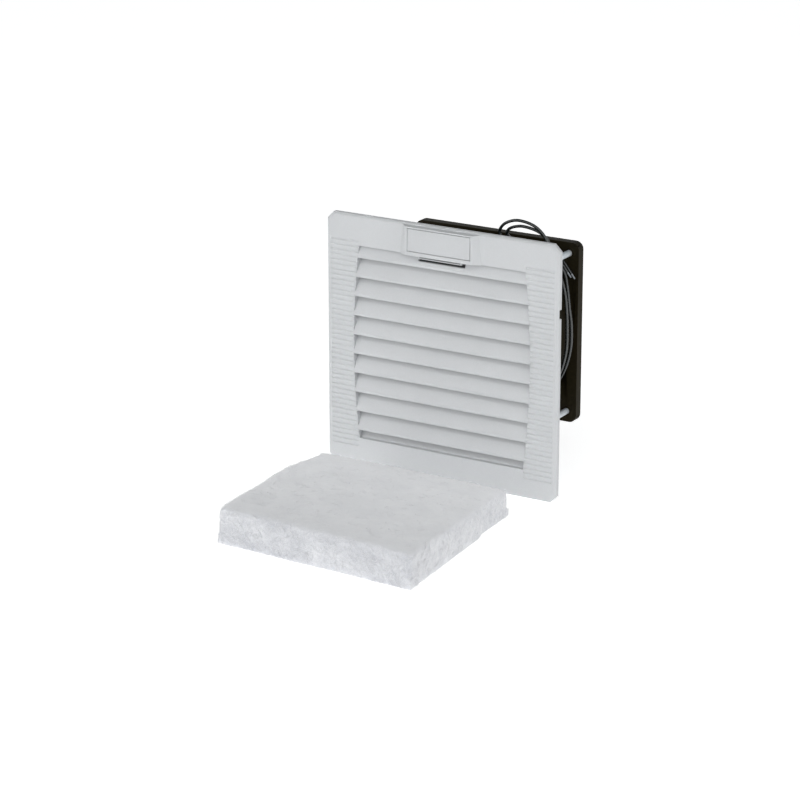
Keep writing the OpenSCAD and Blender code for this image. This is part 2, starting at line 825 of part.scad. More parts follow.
// Struts from the motor plate to the round body
module struts() {
    for (i = [0:strut_count - 1]) {
        rotate([0, strut_turn + i * 360 / strut_count, 0])
            box([0, plate_back - strut_depth, -strut_w / 2], [bore_r + fan_body_wall / 2, plate_back, strut_w / 2]);
    }
}

// Flat pad on the round body for the grommet
module grommet_pad() {
    translate([0, grommet_y, 0]) rotate([0, -grommet_angle, 0]) rotate([0, 90, 0])
        cylinder(r = grommet_pad_r, h = grommet_face - grommet_head);
}

module fan_housing() {
    color("#1E1C1A") {
        difference() {
            translate([0, 0, fan_z]) {
                difference() {
                    union() {
                        along_y(fan_front, fan_flange_t) round_square(fan_w / 2, fan_corner_r);
                        along_y(fan_rear - fan_flange_t, fan_flange_t) round_square(fan_w / 2, fan_corner_r);
                        bar_y(body_r, fan_front, fan_depth);
                        grommet_pad();
                    }
                    bar_y(bore_r, fan_front - over, fan_depth + 2 * over);
                    translate([0, fan_front, 0]) rotate([-90, 0, 0])
                        cylinder(r1 = bore_r + mouth_flare, r2 = bore_r, h = mouth_depth);
                    translate([0, fan_rear - mouth_depth, 0]) rotate([-90, 0, 0])
                        cylinder(r1 = bore_r, r2 = bore_r + mouth_flare, h = mouth_depth);
                    translate([0, grommet_y, 0]) rotate([0, -grommet_angle, 0]) rotate([0, 90, 0])
                        cylinder(d = grommet_shank_d, h = fan_w);
                }
                difference() {
                    union() {
                        struts();
                        bar_y(motor_plate_d / 2, plate_front, motor_plate_t);
                    }
                    bar_y(clip_d / 2 + clip_room, plate_front - over, over + clip_well);
                    bar_y(motor_plate_d / 2 - plate_rim, plate_back - strut_depth - over,
                          strut_depth - motor_plate_t + over);
                }
            }
            at_fan_screws() bar_y(fan_hole_d / 2, fan_front - over, fan_depth + 2 * over);
        }
    }
}

module fan_screws() {
    color("#B9C0C8") at_fan_screws() {
        bar_y(screw_d / 2, seat_front - head_h / 2, screw_back - seat_front + head_h / 2);
        bar_y(head_d / 2, seat_front - head_h, head_h);
    }
}

module fan_washers() {
    color("#B9C0C8") at_fan_screws() tube_y(washer_d / 2, screw_d / 2, washer_front, washer_t);
}

module fan_nuts() {
    color("#B9C0C8") at_fan_screws() difference() {
        translate([0, nut_front, 0]) rotate([-90, 0, 0]) cylinder(d = nut_w / cos(30), h = nut_h, $fn = 6);
        bar_y(screw_d / 2, nut_front - over, nut_h + 2 * over);
    }
}

// Ring of wire round an axis along Y
module wire_ring(r, y) {
    translate([0, y, 0]) rotate([-90, 0, 0]) rotate_extrude() translate([r, 0]) circle(d = wire_d, $fn = 24);
}

module finger_guard() {
    leg_r = sqrt(2) * fan_hole_pos;
    leg_start = ring_first_r - wire_d;
    color("#C7CBD0") translate([0, 0, fan_z]) {
        for (i = [0:ring_count - 1]) {
            wire_ring(ring_first_r + i * ring_step, guard_y + wire_d - weld);
        }
        for (i = [0:3]) {
            rotate([0, 45 + 90 * i, 0]) {
                translate([leg_r, 0, 0]) wire_ring(eye_r, guard_y);
                translate([0, guard_y, 0]) rotate([0, 90, 0])
                    translate([0, 0, leg_start]) cylinder(d = wire_d, h = leg_r - eye_r - leg_start);
            }
        }
    }
}

// Point of a blade: j counts sections from hub to tip, u runs along the chord, side picks one of the faces
function blade_point(j, u, side) =
    let (share = j / blade_sections,
         r = root_r + (tip_r - root_r) * share,
         angle = stagger_root + (stagger_tip - stagger_root) * share,
         chord = chord_root + (chord_tip - chord_root) * share,
         bulge = 1 - 4 * u * u,
         offset = camber * bulge + side * blade_t / 2 * (edge_share + (1 - edge_share) * bulge),
         along = u * chord,
         round = along * sin(angle) + offset * cos(angle),
         axial = along * cos(angle) - offset * sin(angle),
         turn = round / r * 180 / PI)
    [r * cos(turn), blade_mid + axial, r * sin(turn)];

// Blade lofted from cambered sections that each lie on a cylinder round the axis
module blade() {
    ring = 2 * (chord_steps + 1);
    points = [for (j = [0:blade_sections]) each concat(
        [for (k = [0:chord_steps]) blade_point(j, k / chord_steps - 0.5, 1)],
        [for (k = [chord_steps:-1:0]) blade_point(j, k / chord_steps - 0.5, -1)])];
    walls = [for (j = [0:blade_sections - 1]) for (k = [0:ring - 1])
        let (a = j * ring + k, b = j * ring + (k + 1) % ring)
            each [[a, b, a + ring], [b, b + ring, a + ring]]];
    ends = [for (k = [0:chord_steps - 1])
        let (a = k, b = ring - 1 - k, top = blade_sections * ring)
            each [[a, b, a + 1], [b, b - 1, a + 1],
                  [top + a, top + a + 1, top + b], [top + b, top + a + 1, top + b - 1]]];
    polyhedron(points, concat(walls, ends));
}

module impeller() {
    color("#262423") translate([0, 0, fan_z]) {
        difference() {
            bar_y(hub_r, hub_front, hub_wall + cup_depth);
            bar_y(cup_r, cup_front, cup_depth + over);
        }
        for (i = [0:blade_count - 1]) {
            rotate([0, i * 360 / blade_count, 0]) blade();
        }
    }
}

module rotor_cup() {
    color("#8E9296") translate([0, 0, fan_z]) difference() {
        union() {
            difference() {
                bar_y(cup_r, cup_front, cup_depth);
                bar_y(cup_inner, cup_front + cup_wall, cup_depth);
            }
            bar_y(bearing_d / 2, cup_front, boss_len);
        }
        bar_y(shaft_d / 2, cup_front - over, boss_len + 2 * over);
    }
}

module rotor_ring() {
    color("#77797B") translate([0, 0, fan_z])
        tube_y(cup_inner, rotor_inner, rotor_back - rotor_depth, rotor_depth);
}

module shaft() {
    color("silver") translate([0, 0, fan_z]) difference() {
        bar_y(shaft_d / 2, shaft_front, shaft_back - shaft_front);
        tube_y(shaft_d, shaft_d / 2 - groove_depth, clip_front, clip_t);
    }
}

// Snap ring with a gap, in the groove at the shaft's rear end
module shaft_clip() {
    color("silver") translate([0, 0, fan_z]) difference() {
        tube_y(clip_d / 2, shaft_d / 2 - groove_depth, clip_front, clip_t);
        box([-clip_slot, clip_front - over, 0], [clip_slot, clip_front + clip_t + over, clip_d]);
    }
}

module front_bearing() {
    color("#B08D57") translate([0, 0, fan_z])
        tube_y(bearing_d / 2, shaft_d / 2 + shaft_fit, tube_front, bearing_len);
}

module rear_bearing() {
    color("#B08D57") translate([0, 0, fan_z])
        tube_y(bearing_d / 2, shaft_d / 2 + shaft_fit, plate_front - bearing_len, bearing_len);
}

module bearing_tube() {
    color("#9A9DA0") translate([0, 0, fan_z]) tube_y(tube_r, bearing_d / 2, tube_front, plate_front - tube_front);
}

// Laminated stack: a core, four necks and four shoes
module stator_core() {
    color("#6F7275") translate([0, 0, fan_z]) along_y(stack_front, stack_depth) difference() {
        union() {
            circle(r = core_r);
            for (i = [0:pole_count - 1]) {
                rotate(i * 360 / pole_count) translate([0, -neck_w / 2]) square([stator_r - shoe_t / 2, neck_w]);
            }
            for (i = [0:pole_count - 1]) {
                rotate(i * 360 / pole_count) intersection() {
                    difference() {
                        circle(r = stator_r);
                        circle(r = stator_r - shoe_t);
                    }
                    polygon(2 * stator_r * [[0, 0], [1, -tan(shoe_spread)], [1, tan(shoe_spread)]]);
                }
            }
        }
        circle(r = tube_r);
    }
}

// One coil round each neck
module stator_windings() {
    inner = core_r + coil_gap;
    half = neck_w / 2 + winding_t;
    outer = sqrt(pow(stator_r - shoe_t - coil_gap, 2) - pow(half, 2));
    color("#9C5A2E") translate([0, 0, fan_z]) for (i = [0:pole_count - 1]) {
        rotate([0, i * 360 / pole_count, 0]) difference() {
            box([inner, stack_front - winding_t, -half], [outer, stack_front + stack_depth + winding_t, half]);
            box([inner - over, stack_front, -neck_w / 2], [outer + over, stack_front + stack_depth, neck_w / 2]);
        }
    }
}

// Rubber bush with a flat head
module lead_grommet() {
    color("#141414") translate([0, grommet_y, fan_z]) rotate([0, -grommet_angle, 0]) rotate([0, 90, 0]) {
        translate([0, 0, body_r]) cylinder(d = grommet_shank_d, h = grommet_face - body_r);
        translate([0, 0, grommet_face - grommet_head]) cylinder(d = grommet_d, h = grommet_head);
    }
}

function unit(v) = v / norm(v);

// Point of a smooth curve through a route, u in route points
function route_point(p, u) =
    let (i = min(floor(u), len(p) - 2), t = u - i,
         a = p[max(i - 1, 0)], b = p[i], c = p[i + 1], d = p[min(i + 2, len(p) - 1)])
    b + 0.5 * t * ((c - a) + t * ((2 * a - 5 * b + 4 * c - d) + t * (3 * b - a - 3 * c + d)));

// Point of a route, carried over to the fan as it is
function on_fan(p) = [p[0] * route_scale, p[1] + fan_front - route_fan_front,
                      fan_z + (p[2] - route_fan_z) * route_scale];

function sampled(p, count) = [for (k = [0:count]) on_fan(route_point(p, k * (len(p) - 1) / count))];

// Round cord along a path that never runs along Y
module cord(path, r) {
    last = len(path) - 1;
    points = [for (i = [0:last])
        let (ahead = unit(path[min(i + 1, last)] - path[max(i - 1, 0)]),
             side = unit(cross(ahead, [0, 1, 0])),
             lift = cross(side, ahead))
            for (k = [0:lead_sides - 1])
                path[i] + r * (cos(k * 360 / lead_sides) * side + sin(k * 360 / lead_sides) * lift)];
    walls = [for (i = [0:last - 1]) for (k = [0:lead_sides - 1])
        let (a = i * lead_sides + k, b = i * lead_sides + (k + 1) % lead_sides)
            each [[a, b, a + lead_sides], [b, b + lead_sides, a + lead_sides]]];
    start = [for (k = [lead_sides - 1:-1:0]) k];
    end = [for (k = [0:lead_sides - 1]) last * lead_sides + k];
    polyhedron(points, concat(walls, [start, end]));
}

module lead_a() {
    color("#101010") cord(sampled(lead_a_route, lead_rings), lead_d / 2);
}

module lead_b() {
    color("#101010") cord(sampled(lead_b_route, lead_rings), lead_d / 2);
}

// Stripped conductor that carries on from the end of a lead
module bare_end(route) {
    path = sampled(route, lead_rings);
    tip = path[lead_rings];
    ahead = unit(tip - path[lead_rings - 1]);
    cord([tip, tip + strip_len * ahead], strand_d / 2);
}

module lead_ends() {
    color("#D8D4CC") {
        bare_end(lead_a_route);
        bare_end(lead_b_route);
    }
}

grille_cover();
release_latch();
latch_pin();
latch_spring();
base_frame();
mat_grid();
door_gasket();
hinge_pins();
filter_mat();
fan_housing();
fan_screws();
fan_washers();
fan_nuts();
finger_guard();
impeller();
rotor_cup();
rotor_ring();
shaft();
shaft_clip();
front_bearing();
rear_bearing();
bearing_tube();
stator_core();
stator_windings();
lead_grommet();
lead_a();
lead_b();
lead_ends();
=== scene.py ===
"""Looks of a cabinet filter fan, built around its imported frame.

Sizes are in millimetres and follow the part's own frame: the origin is on the door plane at the centre of the
cover, X to the right, Y into the cabinet, Z up. Meshes are in metres.
"""

import logging
import math
from collections.abc import Callable, Sequence
from dataclasses import dataclass, field
from enum import Enum

import bmesh
import bpy
import numpy as np
from mathutils import Matrix, Vector, noise


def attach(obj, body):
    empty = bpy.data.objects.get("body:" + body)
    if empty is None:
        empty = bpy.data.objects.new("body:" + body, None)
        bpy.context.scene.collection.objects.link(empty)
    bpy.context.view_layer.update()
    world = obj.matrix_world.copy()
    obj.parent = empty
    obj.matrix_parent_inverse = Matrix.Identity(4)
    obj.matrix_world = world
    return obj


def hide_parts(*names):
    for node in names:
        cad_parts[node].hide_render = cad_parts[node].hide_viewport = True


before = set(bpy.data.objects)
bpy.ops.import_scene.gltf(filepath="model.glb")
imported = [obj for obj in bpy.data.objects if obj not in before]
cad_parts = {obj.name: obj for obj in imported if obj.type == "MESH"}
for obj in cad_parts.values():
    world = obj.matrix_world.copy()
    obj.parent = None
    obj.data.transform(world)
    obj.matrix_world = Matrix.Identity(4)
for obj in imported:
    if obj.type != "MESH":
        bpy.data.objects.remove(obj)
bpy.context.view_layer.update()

MM = 0.001
LOG = logging.getLogger("filter_fan")
# Height of the floor, and place of the cover's face along Y.
FLOOR_Z, FACE_Y = -83.0, -8.5
# Edges sharper than this many degrees stay crisp.
CRISP = 32.0
# Points nearer than this many metres are one.
MERGE = 2e-6
# Faces that meet at less than this many degrees are one flat face.
FLAT = 0.5
# Share of a side that the rounding of a corner may take.
CORNER_SHARE = 0.45
# Share of the pattern over which a colour changes, in wool and in every other surface.
WOOL_SPAN, PLAIN_SPAN = (0.1, 0.6), (0.6, 1.4)
# Share of the pattern over which the roughness changes.
GLOSS_SPAN = (0.3, 0.7)
# Strength of the pattern where a mask is weakest and strongest, and the colours left where it is weak: the
# lighter middle of the blend, with little of the wool's painted shade.
MASK_SPAN, CALM_SPAN = (0.2, 1.0), (0.6, 0.85)
# How far light spreads below a surface that lets it in.
SCATTER_DEPTH = 4.0
# Roughness of fibre sheen.
SHEEN_ROUGHNESS = 0.6
# Detail and distortion of the cloud pattern, in wool and in every other surface.
WOOL_CLOUD, PLAIN_CLOUD = (5.0, 1.6), (3.0, 0.0)
# A wave pattern of scale 1 repeats every pi / 10 units; its lines are a little uneven.
WAVE_STEP, WAVE_UNEVEN = math.pi / 10, 0.4
# Drawing pulls a pattern out along Y.
DRAWN_STRETCH = (1.0, 0.04, 1.0)

Point = tuple[float, float, float]


def add(tree: bpy.types.NodeTree, kind: str, links: dict | None = None, **settings: object) -> bpy.types.Node:
    """Adds a node with its settings and links.

    Args:
        tree: The shader or geometry tree.
        kind: The node's type name.
        links: Inputs by name or number; a socket is linked and any other value is set.
        settings: The node's own properties.

    Returns:
        The new node.
    """
    node = tree.nodes.new(kind)
    for name, value in settings.items():
        setattr(node, name, value)
    for key, value in (links or {}).items():
        if isinstance(value, bpy.types.NodeSocket):
            tree.links.new(value, node.inputs[key])
        else:
            node.inputs[key].default_value = value
    return node


def ranged(
    tree: bpy.types.NodeTree,
    value: bpy.types.NodeSocket,
    span: tuple[float, float] = (0.0, 1.0),
    result: tuple[float, float] = (0.0, 1.0),
) -> bpy.types.NodeSocket:
    """Maps a value from one range to another.

    Args:
        tree: The shader or geometry tree.
        value: The value.
        span: Its range.
        result: The range that it gets.

    Returns:
        The mapped value.
    """
    ends = {0: value, 1: span[0], 2: span[1], 3: result[0], 4: result[1]}
    return add(tree, "ShaderNodeMapRange", ends).outputs[0]


def put(name: str, data: bpy.types.ID) -> bpy.types.Object:
    """Makes an object of a mesh, curve, lamp or lens and links it to the scene."""
    made = bpy.data.objects.new(name, data)
    bpy.context.scene.collection.objects.link(made)
    return made


def applied(carrier: bpy.types.Object) -> bpy.types.Mesh:
    """A plain mesh of an object with its modifiers."""
    depsgraph = bpy.context.evaluated_depsgraph_get()
    return bpy.data.meshes.new_from_object(carrier.evaluated_get(depsgraph))


def crisp(mesh: bpy.types.Mesh, angle: float = CRISP) -> None:
    """Shades a mesh smooth, apart from edges sharper than an angle in degrees."""
    mesh.shade_smooth()
    mesh.set_sharp_from_angle(angle=math.radians(angle))


def linear(colour: str) -> tuple[float, float, float, float]:
    """Turns an sRGB hex colour to linear.

    Args:
        colour: The colour as #RRGGBB.

    Returns:
        Red, green, blue and an alpha of 1.
    """
    shares = [int(colour[i : i + 2], 16) / 255 for i in (1, 3, 5)]
    red, green, blue = (s / 12.92 if s <= 0.04045 else ((s + 0.055) / 1.055) ** 2.4 for s in shares)
    return red, green, blue, 1.0


class Surface(Enum):
    """How a surface was made, which gives its pattern."""

    MOULDED = "spark-eroded mould grain"
    CAST = "die-cast skin under paint"
    DRAWN = "fine lines along the wire"
    FOAMED = "closed cells"
    STACKED = "sheets stacked along the axis"
    WOUND = "turns of wire"
    WOOL = "bonded tangle of fibres"


@dataclass(frozen=True)
class Finish:
    """One material: colours, gloss and the pattern that its making leaves.

    Attributes:
        name: What the material is and how its surface was made.
        surface: The kind of pattern.
        colour: Main colour.
        second: Colour that it drifts to.
        roughness: Typical roughness.
        metallic: 1 for bare metal.
        ior: Index of refraction; a metal keeps the default.
        grain: Size of the pattern in millimetres.
        relief: Height of the pattern in millimetres.
        drift: Size of the slow change of colour in millimetres.
        spread: How far the roughness varies.
        sheen: Weight of fibre sheen.
        specular: Level of reflection; 0.5 leaves it as the index of refraction gives it.
        mask: Attribute that says where the pattern is strong; in wool, also where its painted shade between
            fibres is strong.
        scatter: Weight of light that spreads below the surface.
        glow: Light that it gives off, for the studio's floor.
    """

    name: str
    surface: Surface
    colour: str
    second: str
    roughness: float
    metallic: float = 0.0
    ior: float = 1.5
    grain: float = 0.8
    relief: float = 0.02
    drift: float = 40.0
    spread: float = 0.08
    sheen: float = 0.0
    specular: float = 0.5
    mask: str = ""
    scatter: float = 0.0
    glow: float = 0.0

    def make(self) -> bpy.types.Material:
        """Builds the material, or returns the one that is there."""
        known = bpy.data.materials.get(self.name)
        if known:
            return known
        material = bpy.data.materials.new(self.name)
        material.use_nodes = True
        tree = material.node_tree
        tree.nodes.clear()
        wool = self.surface is Surface.WOOL
        place = add(tree, "ShaderNodeTexCoord").outputs["Object"]
        pattern = self.pattern(tree, place)
        drift = {"Vector": place, "Scale": 1 / (self.drift * MM), "Detail": 2.0}
        slow = add(tree, "ShaderNodeTexNoise", drift).outputs[0]
        # In wool the low places of the pattern take the grey: painted shade in the depths between fibres.
        both = add(tree, "ShaderNodeMath", {0: slow, 1: pattern}, operation="MULTIPLY" if wool else "ADD")
        share = ranged(tree, both.outputs[0], WOOL_SPAN if wool else PLAIN_SPAN)
        gloss_ends = self.roughness - self.spread, self.roughness + self.spread
        gloss = ranged(tree, pattern, GLOSS_SPAN, gloss_ends)
        relief = {"Height": pattern, "Distance": self.relief * MM, "Strength": 1.0}
        bump = add(tree, "ShaderNodeBump", relief)
        if self.mask:
            shown = add(tree, "ShaderNodeAttribute", attribute_name=self.mask).outputs["Fac"]
            strong = ranged(tree, shown, result=MASK_SPAN)
            tree.links.new(strong, bump.inputs["Strength"])
            # Where the mask is weak, as on the wool's top skin, the colour keeps out of the grey: little
            # painted shade.
            calm = ranged(tree, share, result=CALM_SPAN)
            share = add(tree, "ShaderNodeMix", {0: strong, 2: calm, 3: share}, data_type="FLOAT").outputs[0]
        shader = add(
            tree,
            "ShaderNodeBsdfPrincipled",
            {
                "Base Color": self.mixed(tree, share),
                "Roughness": gloss,
                "Normal": bump.outputs[0],
                "Metallic": self.metallic,
                "IOR": self.ior,
                "Sheen Weight": self.sheen,
                "Specular IOR Level": self.specular,
                "Sheen Roughness": SHEEN_ROUGHNESS,
                "Subsurface Weight": self.scatter,
                "Subsurface Radius": (1.0, 1.0, 1.0),
                "Subsurface Scale": SCATTER_DEPTH * MM,
                "Emission Color": linear("#FFFFFF"),
                "Emission Strength": self.glow,
            },
        )
        add(tree, "ShaderNodeOutputMaterial", {"Surface": shader.outputs[0]})
        return material

    def mixed(self, tree: bpy.types.NodeTree, share: bpy.types.NodeSocket) -> bpy.types.NodeSocket:
        """The two colours blended by a share.

        Args:
            tree: The material's tree.
            share: Where the second colour shows.

        Returns:
            The colour socket.
        """
        node = add(tree, "ShaderNodeValToRGB", {"Fac": share})
        node.color_ramp.elements[0].color = linear(self.colour)
        node.color_ramp.elements[1].color = linear(self.second)
        return node.outputs[0]

    def pattern(self, tree: bpy.types.NodeTree, place: bpy.types.NodeSocket) -> bpy.types.NodeSocket:
        """The height pattern that the surface's making leaves.

        Args:
            tree: The material's tree.
            place: Object coordinates in metres.

        Returns:
            The socket with the pattern, from 0 to 1.
        """
        scale = 1 / (self.grain * MM)
        if self.surface is Surface.FOAMED:
            return add(tree, "ShaderNodeTexVoronoi", {"Vector": place, "Scale": scale}).outputs["Distance"]
        if self.surface in (Surface.STACKED, Surface.WOUND):
            wave = {"Vector": place, "Scale": WAVE_STEP * scale, "Distortion": WAVE_UNEVEN, "Detail": 1.0}
            way = "Y" if self.surface is Surface.STACKED else "DIAGONAL"
            return add(tree, "ShaderNodeTexWave", wave, bands_direction=way).outputs["Fac"]
        if self.surface is Surface.DRAWN:
            place = add(tree, "ShaderNodeMapping", {"Vector": place, "Scale": DRAWN_STRETCH}).outputs[0]
        detail, warp = WOOL_CLOUD if self.surface is Surface.WOOL else PLAIN_CLOUD
        cloud = {"Vector": place, "Scale": scale, "Detail": detail, "Distortion": warp}
        return add(tree, "ShaderNodeTexNoise", cloud).outputs[0]


# Light grey ABS, moulded in a spark-eroded tool: matt, slightly cool, soft wide highlights.
COVER_ABS = Finish(
    "light grey ABS, moulded", Surface.MOULDED, "#C0C2C4", "#BABCBE", 0.5, ior=1.53, relief=0.012
)
# The release is the same ABS from a finer tool, a hair darker, so that its outline just shows.
LATCH_ABS = Finish(
    "light grey ABS, fine moulded", Surface.MOULDED, "#BEC0C2", "#B9BBBD", 0.5, ior=1.53, relief=0.008
)
# Wall behind the release's notch, coloured black as painted shade: it makes the dark gap under the block.
PAINTED_SHADE_ABS = Finish("grey ABS, black as painted shade", Surface.MOULDED, "#101112", "#17181A", 0.6, ior=1.53, relief=0.012)
# Hidden mouldings of the base: the same ABS with a coarser grain.
BASE_ABS = Finish("light grey ABS, base moulding", Surface.MOULDED, "#C8CACC", "#BFC2C5", 0.55, ior=1.53)
# Die-cast aluminium under thin black paint: a warm brown-black with a low sheen and a faint orange peel.
CAST_BLACK = Finish(
    "die-cast aluminium, painted black", Surface.CAST, "#1C1911", "#2C2719", 0.5, grain=1.4, relief=0.03,
    specular=0.05,
)
# Glass-filled nylon: black, dull, with a dry fibre grain.
BLADE_NYLON = Finish(
    "glass filled nylon, moulded", Surface.MOULDED, "#141414", "#1E1E1F", 0.5, ior=1.53, grain=1.1
)
# Zinc plate with a clear blue passivation: pale and cool; its near-white colour is partly the zinc's own and
# partly painted reflection, which keeps it bright between dark neighbours.
ZINC = Finish(
    "zinc plated steel, blue passivated", Surface.DRAWN, "#F2F8FC", "#E4EEF6", 0.35, metallic=0.22, grain=0.5
)
# Nickel-chromium on welded wire: a mirror slightly broken by drawing lines.
GUARD_WIRE = Finish("bright plated wire", Surface.DRAWN, "#D2D3D6", "#BDBFC3", 0.2, metallic=1.0, grain=0.5)
# Ground steel pins and shaft: even grey metal with fine lines.
PIN_STEEL = Finish("ground steel", Surface.DRAWN, "#B7B8BB", "#9C9DA1", 0.25, metallic=1.0, grain=0.4)
# Tempered strip: a darker, bluish steel.
SPRING_STEEL = Finish(
    "tempered spring strip", Surface.DRAWN, "#8F949B", "#7C828B", 0.3, metallic=1.0, grain=0.4
)
# Deep-drawn steel, grey and a little dull.
ROTOR_STEEL = Finish("deep-drawn steel", Surface.DRAWN, "#8A8C8F", "#75777B", 0.38, metallic=1.0, grain=0.7)
# Stamped electrical sheet seen on edge: thin grey lines.
LAMINATION = Finish(
    "stacked electrical sheet", Surface.STACKED, "#6E7074", "#54565A", 0.45, metallic=1.0, grain=0.5
)
# Enamelled copper in turns of about 0.5 mm: warm, glossy ridges.
COPPER = Finish(
    "enamelled copper wire", Surface.WOUND, "#A5582F", "#7C3D1E", 0.3, metallic=1.0, grain=0.5, relief=0.12
)
# Sintered bronze: dull gold with open pores.
BRONZE = Finish("sintered bronze", Surface.CAST, "#A98A58", "#8E7144", 0.48, metallic=1.0, grain=0.5)
# Closed-cell foam strip: dull charcoal with small cells.
FOAM = Finish("closed-cell foam strip", Surface.FOAMED, "#1C1C1D", "#2C2C2D", 0.85, grain=1.2, relief=0.15)
# Soft black rubber: dull, without a highlight of its own.
BUSH_RUBBER = Finish("black rubber", Surface.MOULDED, "#121212", "#1B1B1B", 0.6, ior=1.52, grain=0.9)
# Extruded PVC: deep black with a wet, narrow highlight.
LEAD_PVC = Finish(
    "black PVC, extruded", Surface.MOULDED, "#0F1617", "#161E1F", 0.25, ior=1.8, grain=1.5, relief=0.0
)
# Tinned copper strands: cool grey metal that glints against the black fan.
TINNED = Finish("tinned copper strands", Surface.DRAWN, "#B4B9BD", "#9EA5AA", 0.35, metallic=1.0, grain=0.4)
# Bonded polyester wool: milky white; the grey of its first colour, in the low places of the pattern between
# the fibres, is painted shade.
WOOL = Finish(
    "bonded polyester wool", Surface.WOOL, "#C0C2C8", "#F6F7F9", 0.9, grain=1.3, relief=0.6, drift=14.0,
    sheen=1.0, scatter=0.8, mask="cut",
)
# Single polyester fibres on the surface: white, a little glossy.
FIBRE = Finish("polyester fibre", Surface.MOULDED, "#F5F5F7", "#E5E6EA", 0.55, ior=1.57, grain=4.0, sheen=0.2)
# Seamless studio paper: it glows a little, so that it stays white under soft light.
PAPER = Finish(
    "white studio paper", Surface.MOULDED, "#F7F7F7", "#F3F3F3", 0.9, grain=30.0, relief=0.0, drift=900.0,
    glow=0.6,
)


def closed_mesh(name: str, points: Sequence[Point], faces: Sequence[Sequence[int]]) -> bpy.types.Mesh:
    """Makes a mesh with merged points and faces that point outwards.

    Args:
        name: The mesh's name.
        points: Corners in millimetres.
        faces: Corner numbers of each face.

    Returns:
        The mesh in metres.
    """
    mesh = bpy.data.meshes.new(name)
    work = bmesh.new()
    corners = [work.verts.new(Vector(p) * MM) for p in points]
    for face in faces:
        ring = [corners[i] for i in dict.fromkeys(face)]
        if len(ring) > 2:
            try:
                work.faces.new(ring)
            except ValueError:
                # Where loops meet, two faces can have the same corners, and one is enough.
                continue
    bmesh.ops.remove_doubles(work, verts=work.verts, dist=MERGE)
    bmesh.ops.dissolve_degenerate(work, edges=work.edges, dist=MERGE / 2)
    bmesh.ops.recalc_face_normals(work, faces=work.faces)
    work.to_mesh(mesh)
    work.free()
    crisp(mesh)
    return mesh


def loft(
    loops: Sequence[Sequence[Point]], around: bool = False, capped: bool = False
) -> tuple[list[Point], list[list[int]]]:
    """Joins closed loops of equal length by rows of faces.

    Args:
        loops: The loops in order.
        around: Whether the last loop joins the first.
        capped: Whether the first and last loop are closed by a face.

    Returns:
        Points and faces.
    """
    size = len(loops[0])
    points = [tuple(p) for loop in loops for p in loop]
    faces = []
    for i in range(len(loops) if around else len(loops) - 1):
        low, high = i * size, (i + 1) % len(loops) * size
        for k in range(size):
            n = (k + 1) % size
            faces.append([low + k, low + n, high + n, high + k])
    if capped:
        faces.append(list(range(size)))
        faces.append(list(range(len(points) - size, len(points))))
    return points, faces


def rounded(
    outline: Sequence[tuple[float, float]], radius: float, steps: int = 3
) -> list[tuple[float, float]]:
    """Rounds the corners of a closed outline.

    Args:
        outline: Corners in order.
        radius: Length taken from each side of a corner.
        steps: Points per rounded corner, less one.

    Returns:
        The rounded outline.
    """
    made = []
    for i, corner in enumerate(outline):
        here = np.array(corner)
        ends = []
        for other in (outline[i - 1], outline[(i + 1) % len(outline)]):
            way = np.array(other) - here
            ends.append(here + way * min(CORNER_SHARE, radius / np.linalg.norm(way)))
        for k in range(steps + 1):
            t = k / steps
            made.append(tuple((1 - t) ** 2 * ends[0] + 2 * t * (1 - t) * here + t**2 * ends[1]))
    return made


def cut(mesh: bpy.types.Mesh, rooms: Sequence[tuple[Point, Point]]) -> bpy.types.Mesh:
    """Cuts boxes out of a closed mesh.

    Args:
        mesh: The mesh in metres.
        rooms: Lowest and highest corner of each box, in millimetres.

    Returns:
        The mesh with the boxes cut out.
    """
    for low, high in rooms:
        sides = ((low[0], low[2]), (high[0], low[2]), (high[0], high[2]), (low[0], high[2]))
        rings = [[(x, y, z) for x, z in sides] for y in (low[1], high[1])]
        tool = put("room", closed_mesh("room", *loft(rings, capped=True)))
        work = put("work", mesh)
        modifier = work.modifiers.new("room", "BOOLEAN")
        modifier.operation, modifier.solver, modifier.object = "DIFFERENCE", "EXACT", tool
        mesh = applied(work)
        for made in (tool, work):
            bpy.data.objects.remove(made)
    mesh.set_sharp_from_angle(angle=math.radians(CRISP))
    return mesh


def piece(
    name: str,
    mesh: bpy.types.Mesh,
    finish: Finish,
    body: str,
    slot: str,
    nodes: Sequence[str] = (),
) -> bpy.types.Object:
    """Puts a finished mesh into the scene on its body.

    Args:
        name: The piece's name.
        mesh: Its mesh, in place.
        finish: Its material.
        body: The body it rides on.
        slot: Name of a material slot; not used.
        nodes: The solids it stands for.

    Returns:
        The piece.
    """
    made = put(name, mesh)
    mesh.materials.clear()
    mesh.materials.append(finish.make())
    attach(made, body)
    if nodes:
        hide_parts(*nodes)
    LOG.info("%s: %d faces on %s", name, len(mesh.polygons), body)
    return made


def dress(node: str, finish: Finish) -> None:
    """Gives a solid that stays as it is its material.

    Args:
        node: The solid's name.
        finish: Its material.
    """
    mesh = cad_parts[node].data
    mesh.materials.clear()
    mesh.materials.append(finish.make())
    LOG.info("%s: kept, %s", node, finish.name)


